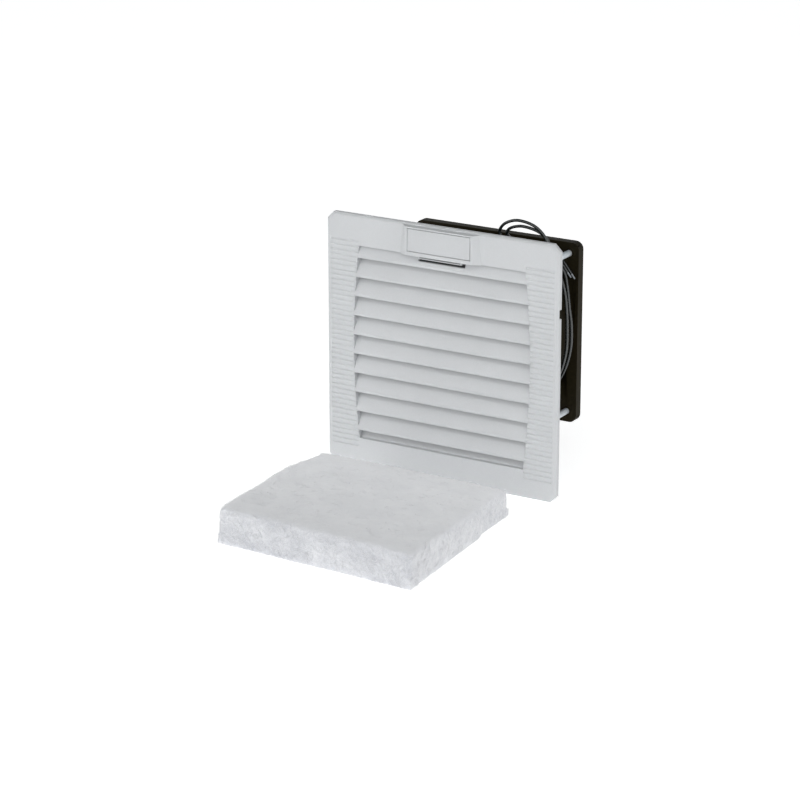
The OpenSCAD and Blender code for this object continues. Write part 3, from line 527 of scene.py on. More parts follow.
def eased_copy(node: str, width: float, angle: float = 35) -> bpy.types.Mesh:
    """A copy of a solid's mesh with whole flat faces, eased edges and smooth round faces.

    Args:
        node: The solid's name.
        width: Width of the eased edges in millimetres, or 0 for none.
        angle: Edges sharper than this many degrees are eased or stay crisp.

    Returns:
        The new mesh.
    """
    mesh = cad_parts[node].data.copy()
    mesh.name = node + "_eased"
    work = bmesh.new()
    work.from_mesh(mesh)
    bmesh.ops.remove_doubles(work, verts=work.verts, dist=MERGE)
    bmesh.ops.dissolve_limit(work, angle_limit=math.radians(FLAT), verts=work.verts, edges=work.edges)
    if width:
        bend = math.radians(angle)
        sharp = [e for e in work.edges if e.is_manifold and e.calc_face_angle(0) > bend]
        shape = {"offset_type": "OFFSET", "segments": 2, "profile": 0.5, "affect": "EDGES"}
        bmesh.ops.bevel(work, geom=sharp, offset=width * MM, clamp_overlap=True, **shape)
    work.to_mesh(mesh)
    work.free()
    crisp(mesh, angle)
    return mesh


class NodeRecipe:
    """A Geometry Nodes tree with named inputs whose result becomes a plain mesh."""

    def __init__(self, name: str, sizes: dict[str, float | int], finish: Finish) -> None:
        """Starts the tree.

        Args:
            name: The tree's name.
            sizes: Named inputs and their values.
            finish: Material of the result.
        """
        self.tree = bpy.data.node_groups.new(name, "GeometryNodeTree")
        face = self.tree.interface
        face.new_socket("Geometry", in_out="OUTPUT", socket_type="NodeSocketGeometry")
        face.new_socket("Geometry", in_out="INPUT", socket_type="NodeSocketGeometry")
        self.values: dict[str, object] = {}
        for label, value in sizes.items():
            kind = "NodeSocketInt" if isinstance(value, int) else "NodeSocketFloat"
            self.values[face.new_socket(label, in_out="INPUT", socket_type=kind).identifier] = value
        socket = face.new_socket("Material", in_out="INPUT", socket_type="NodeSocketMaterial")
        self.values[socket.identifier] = finish.make()
        self.inputs = add(self.tree, "NodeGroupInput").outputs

    def add(self, kind: str, links: dict | None = None, **settings: object) -> bpy.types.NodeOutputs:
        """Adds a node and returns its outputs."""
        return add(self.tree, kind, links, **settings).outputs

    def math(self, operation: str, *values: float | bpy.types.NodeSocket) -> bpy.types.NodeSocket:
        """Adds a calculation with one or two values and returns its result."""
        return self.add("ShaderNodeMath", dict(enumerate(values)), operation=operation)[0]

    def vector(self, **parts: float | bpy.types.NodeSocket) -> bpy.types.NodeSocket:
        """Adds a vector made of its X, Y and Z and returns it."""
        return self.add("ShaderNodeCombineXYZ", parts)[0]

    def position(self) -> bpy.types.NodeOutputs:
        """Adds the place of each point and returns its X, Y and Z."""
        return self.add("ShaderNodeSeparateXYZ", {0: self.add("GeometryNodeInputPosition")[0]})

    def moved(self, geometry: bpy.types.NodeSocket, spot: bpy.types.NodeSocket) -> bpy.types.NodeSocket:
        """Adds a move of each point to its new spot and returns the geometry."""
        return self.add("GeometryNodeSetPosition", {"Geometry": geometry, "Position": spot})[0]

    def mesh(self, geometry: bpy.types.NodeSocket, source: bpy.types.Mesh) -> bpy.types.Mesh:
        """Closes the tree, runs it on a source mesh and keeps the result.

        Args:
            geometry: The last geometry socket.
            source: The mesh that goes in.

        Returns:
            A plain mesh with its material.
        """
        whole = self.add("GeometryNodeRealizeInstances", {"Geometry": geometry})[0]
        look = {"Geometry": whole, "Material": self.inputs["Material"]}
        add(self.tree, "NodeGroupOutput", {0: self.add("GeometryNodeSetMaterial", look)[0]})
        carrier = put(self.tree.name, source)
        modifier = carrier.modifiers.new(self.tree.name, "NODES")
        modifier.node_group = self.tree
        for identifier, value in self.values.items():
            modifier[identifier] = value
        made = applied(carrier)
        bpy.data.objects.remove(carrier)
        return made


@dataclass(frozen=True)
class Panel:
    """One soft panel light.

    Attributes:
        name: Its name.
        place: Its centre.
        size: Width and height.
        power: In watts.
        aim: The point that it faces.
        spread: Angle over which it shines, in degrees.
    """

    name: str
    place: Point
    size: tuple[float, float]
    power: float
    aim: Point = (0.0, 0.0, 0.0)
    spread: float = 180.0


@dataclass
class Studio:
    """Floor, light and camera.

    Attributes:
        floor_z: Height of the floor.
        focal_px: Focal length in pixels of a frame of 800 pixels.
        turn: Camera's turn to the right, in degrees.
        lift: Camera's height above the horizon, in degrees.
        away: Distance from the cover's face.
        aim: Pixel at which the centre of the cover's face stands.
        face_y: Place of the cover's face along Y.
        frame_px: Width of the frame in pixels.
        sensor: Width of the camera's sensor.
        near_far: Nearest and farthest distance that the camera sees, in metres.
        reach: Half the floor's width.
        glow: Strength of the surround.
        side_tone: Colour of the surround up to the lower of the two heights.
        top_tone: Its colour from the upper height on.
        tone_heights: Those heights, from 0 at the horizon to 1 overhead.
        panels: The soft panels.
    """

    floor_z: float = FLOOR_Z
    focal_px: float = 3049.3
    turn: float = 30.8
    lift: float = 18.19
    away: float = 1907.48
    aim: tuple[float, float] = (440.26, 356.17)
    face_y: float = FACE_Y
    frame_px: float = 800.0
    sensor: float = 36.0
    near_far: tuple[float, float] = (0.05, 50.0)
    reach: float = 6000.0
    glow: float = 0.92
    side_tone: str = "#FFFFFF"
    top_tone: str = "#7E8182"
    tone_heights: tuple[float, float] = (0.25, 0.75)
    panels: tuple[Panel, ...] = (
        Panel("key", (850.0, -1040.0, 1100.0), (1600.0, 1600.0), 8.0),
        Panel("fill", (-900.0, -1300.0, 50.0), (1200.0, 1200.0), 6.3),
        Panel("strip", (1500.0, -350.0, 120.0), (300.0, 300.0), 0.7),
        Panel("foot", (0.0, -500.0, 600.0), (300.0, 150.0), 0.032, (0.0, FACE_Y, -50.0), 16.0),
    )

    def build(self) -> None:
        """Sets the floor, the lights and the camera."""
        self.camera()
        self.floor()
        self.lights()

    def camera(self) -> None:
        """Places the camera so that the cover's face falls where it is seen."""
        turn, lift = math.radians(self.turn), math.radians(self.lift)
        level = math.cos(lift)
        back = Vector((math.sin(turn) * level, -math.cos(turn) * level, math.sin(lift)))
        right = Vector((math.cos(turn), math.sin(turn), 0))
        up = back.cross(right)
        half = self.frame_px / 2
        step = self.away / self.focal_px
        across, down = ((pixel - half) * step for pixel in self.aim)
        place = back * self.away - right * across + up * down
        place.y += self.face_y
        lens = bpy.data.cameras.new("camera")
        lens.sensor_width = self.sensor
        lens.lens = self.focal_px * self.sensor / self.frame_px
        lens.clip_start, lens.clip_end = self.near_far
        eye = put("camera", lens)
        facing = Matrix((right, up, back)).transposed().to_4x4()
        eye.matrix_world = Matrix.Translation(place * MM) @ facing
        bpy.context.scene.camera = eye

    def floor(self) -> None:
        """Lays the pale floor."""
        ring = ((-1, -1), (1, -1), (1, 1), (-1, 1))
        corners = [(x * self.reach, y * self.reach, self.floor_z) for x, y in ring]
        mesh = closed_mesh("floor", corners, [[0, 1, 2, 3]])
        made = put("floor", mesh)
        mesh.materials.append(PAPER.make())

    def lights(self) -> None:
        """Sets a surround that is bright at the sides and dim overhead, and the soft panels."""
        world = bpy.data.worlds.new("surround")
        world.use_nodes = True
        tree = world.node_tree
        tree.nodes.clear()
        outwards = add(tree, "ShaderNodeTexCoord").outputs["Generated"]
        height = add(tree, "ShaderNodeSeparateXYZ", {0: outwards}).outputs["Z"]
        tone = add(tree, "ShaderNodeValToRGB", {"Fac": height})
        low, high = tone.color_ramp.elements
        low.position, high.position = self.tone_heights
        low.color, high.color = linear(self.side_tone), linear(self.top_tone)
        glow = add(tree, "ShaderNodeBackground", {"Color": tone.outputs[0], "Strength": self.glow})
        add(tree, "ShaderNodeOutputWorld", {"Surface": glow.outputs[0]})
        bpy.context.scene.world = world
        bpy.context.scene.view_settings.view_transform = "Standard"
        for panel in self.panels:
            lamp = bpy.data.lights.new(panel.name, "AREA")
            lamp.shape = "RECTANGLE"
            lamp.size, lamp.size_y = (side * MM for side in panel.size)
            lamp.energy = panel.power
            lamp.spread = math.radians(panel.spread)
            made = put(panel.name, lamp)
            made.location = Vector(panel.place) * MM
            made.rotation_mode = "QUATERNION"
            way = Vector(panel.aim) * MM - made.location
            made.rotation_quaternion = way.to_track_quat("-Z", "Y")


def curve_through(route: Sequence[Point], per_step: int) -> list[Vector]:
    """Points of a smooth curve through a route, a Catmull-Rom spline.

    Args:
        route: Route points in millimetres.
        per_step: Points from one route point to the next.

    Returns:
        The curve's points in millimetres.
    """
    stops = [Vector(p) for p in route]
    made = []
    for i in range(len(stops) - 1):
        a, b, c = stops[max(i - 1, 0)], stops[i], stops[i + 1]
        d = stops[min(i + 2, len(stops) - 1)]
        for k in range(per_step):
            t = k / per_step
            turn = 2 * a - 5 * b + 4 * c - d + t * (3 * b - a - 3 * c + d)
            made.append(b + 0.5 * t * (c - a + t * turn))
    return [*made, stops[-1]]


@dataclass
class Leads:
    """The two leads wound on the fan's body and their stripped ends.

    Attributes:
        routes: Route points of each lead, the same as the solids follow.
        diameter: Over the sheath.
        sheath_steps: Fineness of the sheath's round section.
        strip: Length of a stripped end.
        strand_count: Strands that lie round the middle one.
        strand_turns: Turns that they make along a stripped end.
        strand_lay: Radius on which they lie.
        strand_r: Radius of one strand.
        strand_sides, strand_steps: Sides of one strand and its points along a turn.
        strand_sink: How far the strands reach into the sheath.
        strand_crisp: Edges of strands sharper than this many degrees stay crisp.
        per_step: Points from one route point to the next.
    """

    diameter: float = 2.0
    sheath_steps: int = 5
    strip: float = 4.0
    strand_count: int = 6
    strand_turns: float = 0.8
    strand_lay: float = 0.38
    strand_r: float = 0.21
    strand_sides: int = 8
    strand_steps: int = 24
    strand_sink: float = 0.2
    strand_crisp: float = 50.0
    per_step: int = 8
    routes: dict[str, list[Point]] = field(
        default_factory=lambda: {
            "lead_a": [
                (-43, 51, -38), (-45.5, 51, -40.5), (-47, 50.5, -44.5), (-44, 50, -48.5), (-36, 50, -50.5),
                (-24, 50, -52), (-10, 50, -53), (5, 50, -53.5), (20, 50, -50), (34, 50, -43), (46, 50, -31.5),
                (54, 50, -18), (58, 50, -3), (58.4, 50, 12), (57.8, 50, 24), (56.4, 50, 34.7),
                (53.5, 50.3, 43.5), (48.5, 50.5, 51.5), (44, 51, 59.5), (41, 51.5, 68.5), (33, 51.5, 75),
                (21.5, 51.5, 77), (12.5, 51.5, 74), (8, 52, 68.5), (9, 53, 64.5), (14, 53, 62.5),
                (22, 54.5, 62), (30, 57, 61.5), (37, 57.9, 60), (44, 57.9, 56.5), (49.5, 57.9, 51.5),
                (54, 57.9, 46),
            ],
            "lead_b": [
                (-43, 55.5, -38), (-45.5, 55.5, -40.5), (-47, 56, -44.5), (-44, 56, -48.5), (-36, 56, -50.5),
                (-24, 56, -52), (-10, 56, -53), (5, 56, -53.5), (20, 56, -50), (34, 56, -43), (46, 56, -31.5),
                (54, 56, -18), (58, 56, -3), (58.2, 56, 12), (56.8, 56, 22.5), (55.1, 56, 36), (53, 56, 45.5),
                (48.5, 55.5, 52.5), (44, 55, 60), (40, 55, 67), (33, 55, 71), (22.5, 55, 72.5),
                (13.8, 55.5, 70), (10.8, 57, 65.5), (15, 59.5, 61.5), (25, 61, 60), (36, 61, 58.5),
                (45, 61, 55.5), (50, 61, 51), (55.2, 61, 44.5),
            ],
        }
    )

    def build(self) -> None:
        """Lays both leads and puts their ends on."""
        strands = self.strands()
        for name, route in self.routes.items():
            line = curve_through(route, self.per_step)
            end = self.end(name, strands, line)
            cord = self.sheath(name, line)

    def sheath(self, name: str, line: Sequence[Vector]) -> bpy.types.Object:
        """Makes one lead as a round curve.

        Args:
            name: The solid that it stands for.
            line: Its centreline in millimetres.

        Returns:
            The lead.
        """
        shape = bpy.data.curves.new(name + "_sheath", "CURVE")
        shape.dimensions = "3D"
        shape.bevel_depth = self.diameter / 2 * MM
        shape.bevel_resolution = self.sheath_steps
        shape.use_fill_caps = True
        spline = shape.splines.new("POLY")
        spline.points.add(len(line) - 1)
        for point, place in zip(spline.points, line):
            point.co = (*(place * MM), 1)
        shape.materials.append(LEAD_PVC.make())
        made = put(name + "_sheath", shape)
        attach(made, "housing")
        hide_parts(name)
        LOG.info("%s: %d points", made.name, len(line))
        return made

    def strands(self) -> bpy.types.Mesh:
        """Twists one bundle of strands along Z."""
        sizes = {
            "Strands": self.strand_count,
            "Length": self.strip * MM,
            "Lay radius": self.strand_lay * MM,
            "Strand radius": self.strand_r * MM,
            "Turns": self.strand_turns,
        }
        recipe = NodeRecipe("twisted strands", sizes, TINNED)
        size = recipe.inputs
        lay, thin, long = size["Lay radius"], size["Strand radius"], size["Length"]
        twist = {"Resolution": self.strand_steps, "Rotations": size["Turns"], "Height": long}
        helix = recipe.add("GeometryNodeCurveSpiral", twist | {"Start Radius": lay, "End Radius": lay})[0]
        section = {"Resolution": self.strand_sides, "Radius": thin}
        rim = recipe.add("GeometryNodeCurvePrimitiveCircle", section)[0]
        sweep = {"Curve": helix, "Profile Curve": rim, "Fill Caps": True}
        strand = recipe.add("GeometryNodeCurveToMesh", sweep)[0]
        row = recipe.add("GeometryNodePoints", {"Count": size["Strands"]})[0]
        step = recipe.math("DIVIDE", 2 * math.pi, size["Strands"])
        angle = recipe.math("MULTIPLY", recipe.add("GeometryNodeInputIndex")[0], step)
        spread = {"Points": row, "Instance": strand, "Rotation": recipe.vector(Z=angle)}
        ring = recipe.add("GeometryNodeInstanceOnPoints", spread)[0]
        rod = {"Vertices": self.strand_sides, "Radius": thin, "Depth": long}
        middle = recipe.add("GeometryNodeMeshCylinder", rod)[0]
        lift = recipe.vector(Z=recipe.math("MULTIPLY", long, 0.5))
        core = recipe.add("GeometryNodeTransform", {"Geometry": middle, "Translation": lift})[0]
        both = add(recipe.tree, "GeometryNodeJoinGeometry")
        for part in (ring, core):
            recipe.tree.links.new(part, both.inputs[0])
        return recipe.mesh(both.outputs[0], bpy.data.meshes.new("strand_source"))

    def end(self, name: str, strands: bpy.types.Mesh, line: Sequence[Vector]) -> bpy.types.Object:
        """Sets a bundle of strands on the end of a lead.

        Args:
            name: The lead's name.
            strands: The bundle along Z.
            line: The lead's centreline.

        Returns:
            The stripped end.
        """
        along = (line[-1] - line[-2]).normalized()
        turn = along.to_track_quat("Z", "Y").to_matrix().to_4x4()
        mesh = strands.copy()
        mesh.transform(Matrix.Translation((line[-1] - along * self.strand_sink) * MM) @ turn)
        crisp(mesh, self.strand_crisp)
        return piece(name + "_strands", mesh, TINNED, "housing", "tinned_copper", ["lead_ends"])


@dataclass
class Cover:
    """Louvred cover: plate with grooved sides, sloping slats, and the block that holds the release.

    Attributes:
        half: Half the cover's width.
        cut: Leg of the corner cut.
        front, back: Front face and rear edge of the rim.
        bevel: Width of the bevel round the face.
        wall: Thickness of skin and rim.
        opening_w, opening_top, opening_bottom: Opening's width at mid-height and its ends.
        bow: How far the opening's sides bow.
        collar: Thickness of the wall round the opening.
        depth: Depth of that wall and of the slats.
        ease: Width of the eased edges.
        sliver: Gap between two loops that would otherwise merge.
        groove_pitch, groove_w, groove_depth: Spacing and section of the grooves beside the opening.
        groove_top, groove_count: Where the grooves start, and how many there are.
        groove_border, groove_end: Plain margin outside the grooves and beside the opening.
        groove_cut: Leg of the corner cut of the line at which the grooves end.
        notch_z, notch_h, notch_depth: Place and size of the pry notches in the side rims.
        slat_pitch, slat_first, slat_count: Spacing, first place and number of the slats.
        slat_t, slat_angle, lip: Thickness, slope in degrees and upright front edge of a slat.
        block_half, block_ramp, block_foot: Half the block's width, and its slopes at top and foot.
        block_front, block_bottom, block_top: Where the block ends.
        block_rows, block_curve: Points along its side, and how fast the slope widens towards the foot.
        foot_ease: Easing of the slope's foot, in widths of an eased edge.
        block_drops: How far its top slopes down to the front, at the eased foot, the front and its face.
        panel_half, panel_low, panel_high: Room for the release's panel.
        panel_sink: How far that room reaches past the cover's face.
        tongue_skin, tongue_back: Skin in front of the tongue's room, and that room's rear end.
        pivot_z, pivot_room, pivot_skin, pivot_back: Height of the release's pivot, and the room round it.
        nose_half, nose_low, nose_high, nose_deep: Room for the nose, from the pivot and from the face.
        over: How far a cut starts outside what it cuts.
        slot_half, slot_low: Half the width and the lower end of the notch in the first slat.
        wall_y, wall_drop: Front of the wall behind that notch, and how far it hangs below it.
        hinge_x, hinge_y, hinge_z: Place of the hinge.
        knuckle_r, knuckle_bore, knuckle_w, knuckle_sides: Hinge knuckle.
        web_half, web_inset, web_gap: Half the height of its web, and what the web's ends keep clear.
    """

    half: float = 83.0
    cut: float = 4.5
    front: float = FACE_Y
    back: float = -4.7
    bevel: float = 1.2
    wall: float = 2.0
    opening_w: float = 127.0
    opening_top: float = 63.2
    opening_bottom: float = -64.4
    bow: float = 4.0
    collar: float = 1.6
    depth: float = 6.0
    ease: float = 0.25
    sliver: float = 0.001
    groove_pitch: float = 3.3
    groove_w: float = 1.5
    groove_depth: float = 0.45
    groove_top: float = 66.5
    groove_count: int = 42
    groove_border: float = 3.2
    groove_end: float = 0.6
    groove_cut: float = 3.5
    notch_z: float = 39.0
    notch_h: float = 6.0
    notch_depth: float = 1.7
    slat_pitch: float = 12.7
    slat_first: float = 6.3
    slat_count: int = 11
    slat_t: float = 1.5
    slat_angle: float = 64.0
    lip: float = 1.6
    block_half: float = 24.0
    block_ramp: float = 3.2
    block_foot: float = 5.0
    block_front: float = -11.5
    block_bottom: float = 63.0
    block_top: float = 81.8
    block_rows: int = 9
    block_curve: float = 1.5
    foot_ease: float = 1.6
    block_drops: tuple[float, float, float] = (0.05, 0.4, 0.5)
    panel_half: float = 22.6
    panel_low: float = 65.45
    panel_high: float = 80.45
    panel_sink: float = -0.03
    tongue_skin: float = 0.7
    tongue_back: float = -7.6
    pivot_z: float = 72.95
    pivot_room: float = 2.4
    pivot_skin: float = 2.0
    pivot_back: float = -7.8
    nose_half: float = 10.9
    nose_low: float = 6.7
    nose_high: float = 5.5
    nose_deep: float = 3.0
    over: float = 1.0
    slot_half: float = 16.7
    slot_low: float = 59.0
    wall_y: float = -4.42
    wall_drop: float = 2.0
    hinge_x: float = 45.0
    hinge_y: float = -4.2
    hinge_z: float = -77.0
    knuckle_r: float = 1.9
    knuckle_bore: float = 1.05
    knuckle_w: float = 8.0
    knuckle_sides: int = 32
    web_half: float = 1.3
    web_inset: float = 1.0
    web_gap: float = 0.1

    @property
    def middle(self) -> float:
        """Height of the opening's centre."""
        return (self.opening_top + self.opening_bottom) / 2

    @property
    def bow_r(self) -> float:
        """Radius of the opening's bowed sides."""
        rise = (self.opening_top - self.opening_bottom) / 2
        return (rise**2 + self.bow**2) / (2 * self.bow)

    def side(self, z: float) -> float:
        """Half the opening's width at a height."""
        return self.opening_w / 2 - self.bow_r + math.sqrt(self.bow_r**2 - (z - self.middle) ** 2)

    def levels(self) -> list[tuple[float, float, float]]:
        """Heights along a side edge, each with the depth of groove and notch there."""
        edges = [(-self.half, 0.0)]
        for i in reversed(range(self.groove_count)):
            z = self.groove_top - i * self.groove_pitch
            d, w = self.groove_depth, self.groove_w
            edges += [(z - w, 0.0), (z - w + d, d), (z - d, d), (z, 0.0)]
        edges.append((self.half, 0.0))
        heights, depths = zip(*edges)
        low, high = self.notch_z - self.notch_h / 2, self.notch_z + self.notch_h / 2
        plain = [*heights, self.opening_bottom, self.opening_top]
        rows = [(z, self.notch_depth if low < z < high else 0.0) for z in plain]
        rows += [(low, 0.0), (low, self.notch_depth), (high, self.notch_depth), (high, 0.0)]
        ordered = sorted(set(rows), key=lambda r: (r[0], -r[1] if r[0] == high else r[1]))
        return [(z, float(np.interp(z, heights, depths)), notch) for z, notch in ordered]

    def around(
        self,
        side: Callable[[float, float, float], Point],
        top: Callable[[float, int], Point],
        spread: int = 24,
    ) -> list[Point]:
        """A closed loop from rules for its sides and for its upper and lower edges.

        Args:
            side: Gives x, y and z of the right side from a level.
            top: Gives x, y and z of an edge from a share of its length and +1 for the upper edge or -1.
            spread: Points along the upper and the lower edge.

        Returns:
            The loop, right side first.
        """
        rows = self.levels()
        right = [side(*row) for row in rows]
        shares = [1 - 2 * k / (spread - 1) for k in range(spread)]
        upper = [top(s, 1) for s in shares]
        left = [(-x, y, z) for x, y, z in reversed(right)]
        lower = [top(-s, -1) for s in shares]
        return [*right, *upper, *left, *lower]

    def square(
        self, half: float, cut: float, y: float, groove: bool = False, notch: bool = False
    ) -> list[Point]:
        """Loop of a square with cut corners.

        Args:
            half: Half its width.
            cut: Leg of the corner cut.
            y: Its place along Y.
            groove: Whether it follows the grooves.
            notch: Whether it follows the notches.

        Returns:
            The loop.
        """
        reach = half - cut

        def side(z: float, sink: float, gap: float) -> Point:
            """A point of the right side."""
            return half - gap * notch, y + sink * groove, max(-reach, min(reach, z))

        return self.around(side, lambda s, up: (s * reach, y, up * half))

    def barrel(
        self, grow: float, y: float, groove: bool = False, wide: float | None = None, past: bool = False
    ) -> list[Point]:
        """Loop of the opening.

        Args:
            grow: How far outside the opening it runs.
            y: Its place along Y.
            groove: Whether it follows the grooves beside the opening.
            wide: Half the height of the loop where it runs past the opening.
            past: Whether it also follows the grooves above and below the opening.

        Returns:
            The loop.
        """
        top, bottom = self.opening_top, self.opening_bottom
        high = wide or top + grow
        low = -wide if wide else bottom - grow

        def side(z: float, sink: float, gap: float) -> Point:
            """A point of the right side."""
            inside = min(max(z, bottom), top)
            shown = sink if groove and (past or bottom < z < top) else 0
            return self.side(inside) + grow, y + shown, min(max(z, low), high)

        def edge(share: float, up: int) -> Point:
            """A point of the upper or lower edge."""
            level = top if up > 0 else bottom
            return share * (self.side(level) + grow), y, high if up > 0 else low

        return self.around(side, edge)

    def plate(self) -> bpy.types.Mesh:
        """The plate with its rim, grooves, notches and the wall round the opening, as one closed skin."""
        f, e, cut_leg = self.front, self.ease, self.cut
        slope = e / math.sqrt(2)
        bevel_y = f + self.bevel
        # The loops of the rim stay just behind the bevel, so that points of the notches don't merge with it.
        rim_y = bevel_y + self.sliver
        border = self.half - self.groove_border
        skin = f + self.wall
        inner, inner_cut = self.half - self.wall, cut_leg - self.wall / 2
        face = self.half - self.bevel
        wide = border - self.groove_cut
        rear = f + self.depth
        loops = [
            self.square(self.half, cut_leg, self.back, notch=True),
            self.square(self.half, cut_leg, rim_y, notch=True),
            self.square(self.half, cut_leg, rim_y),
            self.square(self.half - slope, cut_leg, bevel_y - slope),
            self.square(face + slope, cut_leg, f + slope),
            self.square(face - e, cut_leg, f),
            self.square(border, self.groove_cut, f),
            self.square(border, self.groove_cut, f, groove=True),
            self.barrel(self.groove_end, f, groove=True, wide=wide, past=True),
            self.barrel(self.groove_end, f, groove=True, wide=wide),
            self.barrel(e, f, groove=True),
            self.barrel(0, f + e, groove=True),
            self.barrel(0, rear - e),
            self.barrel(e, rear),
            self.barrel(self.collar, rear),
            self.barrel(self.collar, skin),
            self.square(inner, inner_cut, skin),
            self.square(inner, inner_cut, self.back),
        ]
        return closed_mesh("cover_plate", *loft(loops, around=True))

    def slats(self) -> bpy.types.Mesh:
        """All slats, each fitted to the bowed sides."""
        slope = math.radians(self.slat_angle)
        rise = self.depth * math.tan(slope)
        drop = self.slat_t / math.cos(slope)
        lip_back = (drop - self.lip) / math.tan(slope)
        upper, lower = [(0, 0), (self.depth, rise)], [(lip_back, -self.lip), (0, -self.lip)]
        outline = rounded([*upper, (self.depth, rise - drop), *lower], self.ease)
        ends = [[(s / MM, self.front + y, z) for y, z in outline] for s in (-1, 1)]
        one = closed_mesh("slat_source", *loft(ends, capped=True))
        sizes = {
            "Count": self.slat_count,
            "Pitch": self.slat_pitch * MM,
            "First": (self.opening_top - self.slat_first) * MM,
            "Middle": self.middle * MM,
            "Bow radius": self.bow_r * MM,
            "Half width": self.opening_w / 2 * MM,
            "Sink": self.collar / 2 * MM,
            "Top": (self.opening_top + self.collar / 2) * MM,
            "Bottom": (self.opening_bottom - self.collar / 2) * MM,
            "Slope": 1 / math.tan(slope),
        }
        recipe = NodeRecipe("slat rows", sizes, COVER_ABS)
        size = recipe.inputs
        down = recipe.math("MULTIPLY", size["Pitch"], -1.0)
        steps = {"Start Location": recipe.vector(Z=size["First"]), "Offset": recipe.vector(Z=down)}
        row = recipe.add("GeometryNodeMeshLine", {"Count": size["Count"]} | steps)[0]
        rows = {"Points": row, "Instance": size["Geometry"]}
        many = recipe.add("GeometryNodeInstanceOnPoints", rows)[0]
        whole = recipe.add("GeometryNodeRealizeInstances", {"Geometry": many})[0]
        place = recipe.position()
        held = recipe.math("MAXIMUM", recipe.math("MINIMUM", place["Z"], size["Top"]), size["Bottom"])
        slid = recipe.math("MULTIPLY", recipe.math("SUBTRACT", held, place["Z"]), size["Slope"])
        deep = recipe.math("ADD", place["Y"], slid)
        off = recipe.math("POWER", recipe.math("SUBTRACT", held, size["Middle"]), 2.0)
        rest = recipe.math("SUBTRACT", recipe.math("POWER", size["Bow radius"], 2.0), off)
        bowed = recipe.math("SUBTRACT", recipe.math("SQRT", rest), size["Bow radius"])
        reach = recipe.math("ADD", size["Half width"], size["Sink"])
        wide = recipe.math("ADD", bowed, reach)
        across = recipe.math("MULTIPLY", wide, recipe.math("SIGN", place["X"]))
        return recipe.mesh(recipe.moved(whole, recipe.vector(X=across, Y=deep, Z=held)), one)

    def block(self) -> bpy.types.Mesh:
        """Raised block with sloping sides that widen towards its foot, before its cuts."""
        e = self.ease
        shares = [k / (self.block_rows - 1) for k in range(self.block_rows)]

        def ring(y: float, extra: float, foot: float, drop: float) -> list[Point]:
            """A loop round the block, wider by one amount at the top and by another at the foot."""
            low, high = self.block_bottom, self.block_top - drop
            right = []
            for t in shares:
                wide = self.block_half + extra + (foot - extra) * (1 - t) ** self.block_curve
                right.append((wide, y, low + (high - low) * t))
            return [*right, *[(-x, at, z) for x, at, z in reversed(right)]]

        ramp, foot = self.block_ramp, self.block_foot
        eased, near, top = self.block_drops
        loops = [
            ring(self.front + self.wall, ramp, foot, 0.0),
            ring(self.front, ramp, foot, 0.0),
            ring(self.front - e, ramp - e, foot - self.foot_ease * e, eased),
            ring(self.block_front + e, e, e, near),
            ring(self.block_front, -e, -e, top),
        ]
        return closed_mesh("cover_block", *loft(loops, capped=True))

    def rooms(self) -> list[tuple[Point, Point]]:
        """Corners of the boxes that make room for the release's panel, tongue and nose."""
        y0, pivot = self.block_front, self.pivot_z
        panel, slot, nose = self.panel_half, self.slot_half, self.nose_half
        foot = self.block_bottom - self.over
        low, high = pivot - self.pivot_room, pivot + self.pivot_room
        below, above = pivot - self.nose_low, pivot + self.nose_high
        floor, deep = self.front + self.panel_sink, self.front + self.nose_deep
        return [
            ((-panel, y0 - self.over, self.panel_low), (panel, floor, self.panel_high)),
            ((-slot, y0 + self.tongue_skin, foot), (slot, self.tongue_back, pivot)),
            ((-panel, y0 + self.pivot_skin, low), (panel, self.pivot_back, high)),
            ((-nose, self.front - self.over, below), (nose, deep, above)),
        ]

    def notch(self) -> tuple[Point, Point]:
        """Corners of the box that opens the first slat behind the end of the tongue."""
        low = -self.slot_half, self.front - self.over, self.slot_low
        return low, (self.slot_half, self.wall_y, self.opening_top)

    def notch_wall(self) -> bpy.types.Mesh:
        """The wall that hangs from the collar behind the notch."""
        wide = self.slot_half + self.collar
        low, high = self.slot_low - self.wall_drop, self.opening_top + self.collar / 2
        corners = [(-wide, low), (wide, low), (wide, high), (-wide, high)]
        loops = [[(x, y, z) for x, z in corners] for y in (self.wall_y, self.wall_y + self.collar)]
        return closed_mesh("cover_notch_wall", *loft(loops, capped=True))

    def knuckles(self) -> bpy.types.Mesh:
        """The two hinge knuckles behind the cover's lower edge."""
        points: list[Point] = []
        faces: list[list[int]] = []
        turns = [2 * math.pi * k / self.knuckle_sides for k in range(self.knuckle_sides)]
        y0, z0, r0, r1 = self.hinge_y, self.hinge_z, self.knuckle_r, self.knuckle_bore
        under, over = z0 - self.web_half, z0 + self.web_half
        web_ends = self.front + self.web_inset, y0 - r1 - self.web_gap
        for side in (-1, 1):
            low, high = (side * self.hinge_x + end * self.knuckle_w / 2 for end in (-1, 1))
            rims = ((low, r0), (high, r0), (high, r1), (low, r1))
            tube = [[(x, y0 + r * math.cos(t), z0 + r * math.sin(t)) for t in turns] for x, r in rims]
            web = [[(low, y, under), (high, y, under), (high, y, over), (low, y, over)] for y in web_ends]
            for made, made_faces in (loft(tube, around=True), loft(web, capped=True)):
                faces += [[i + len(points) for i in f] for f in made_faces]
                points += made
        return closed_mesh("cover_knuckles", points, faces)

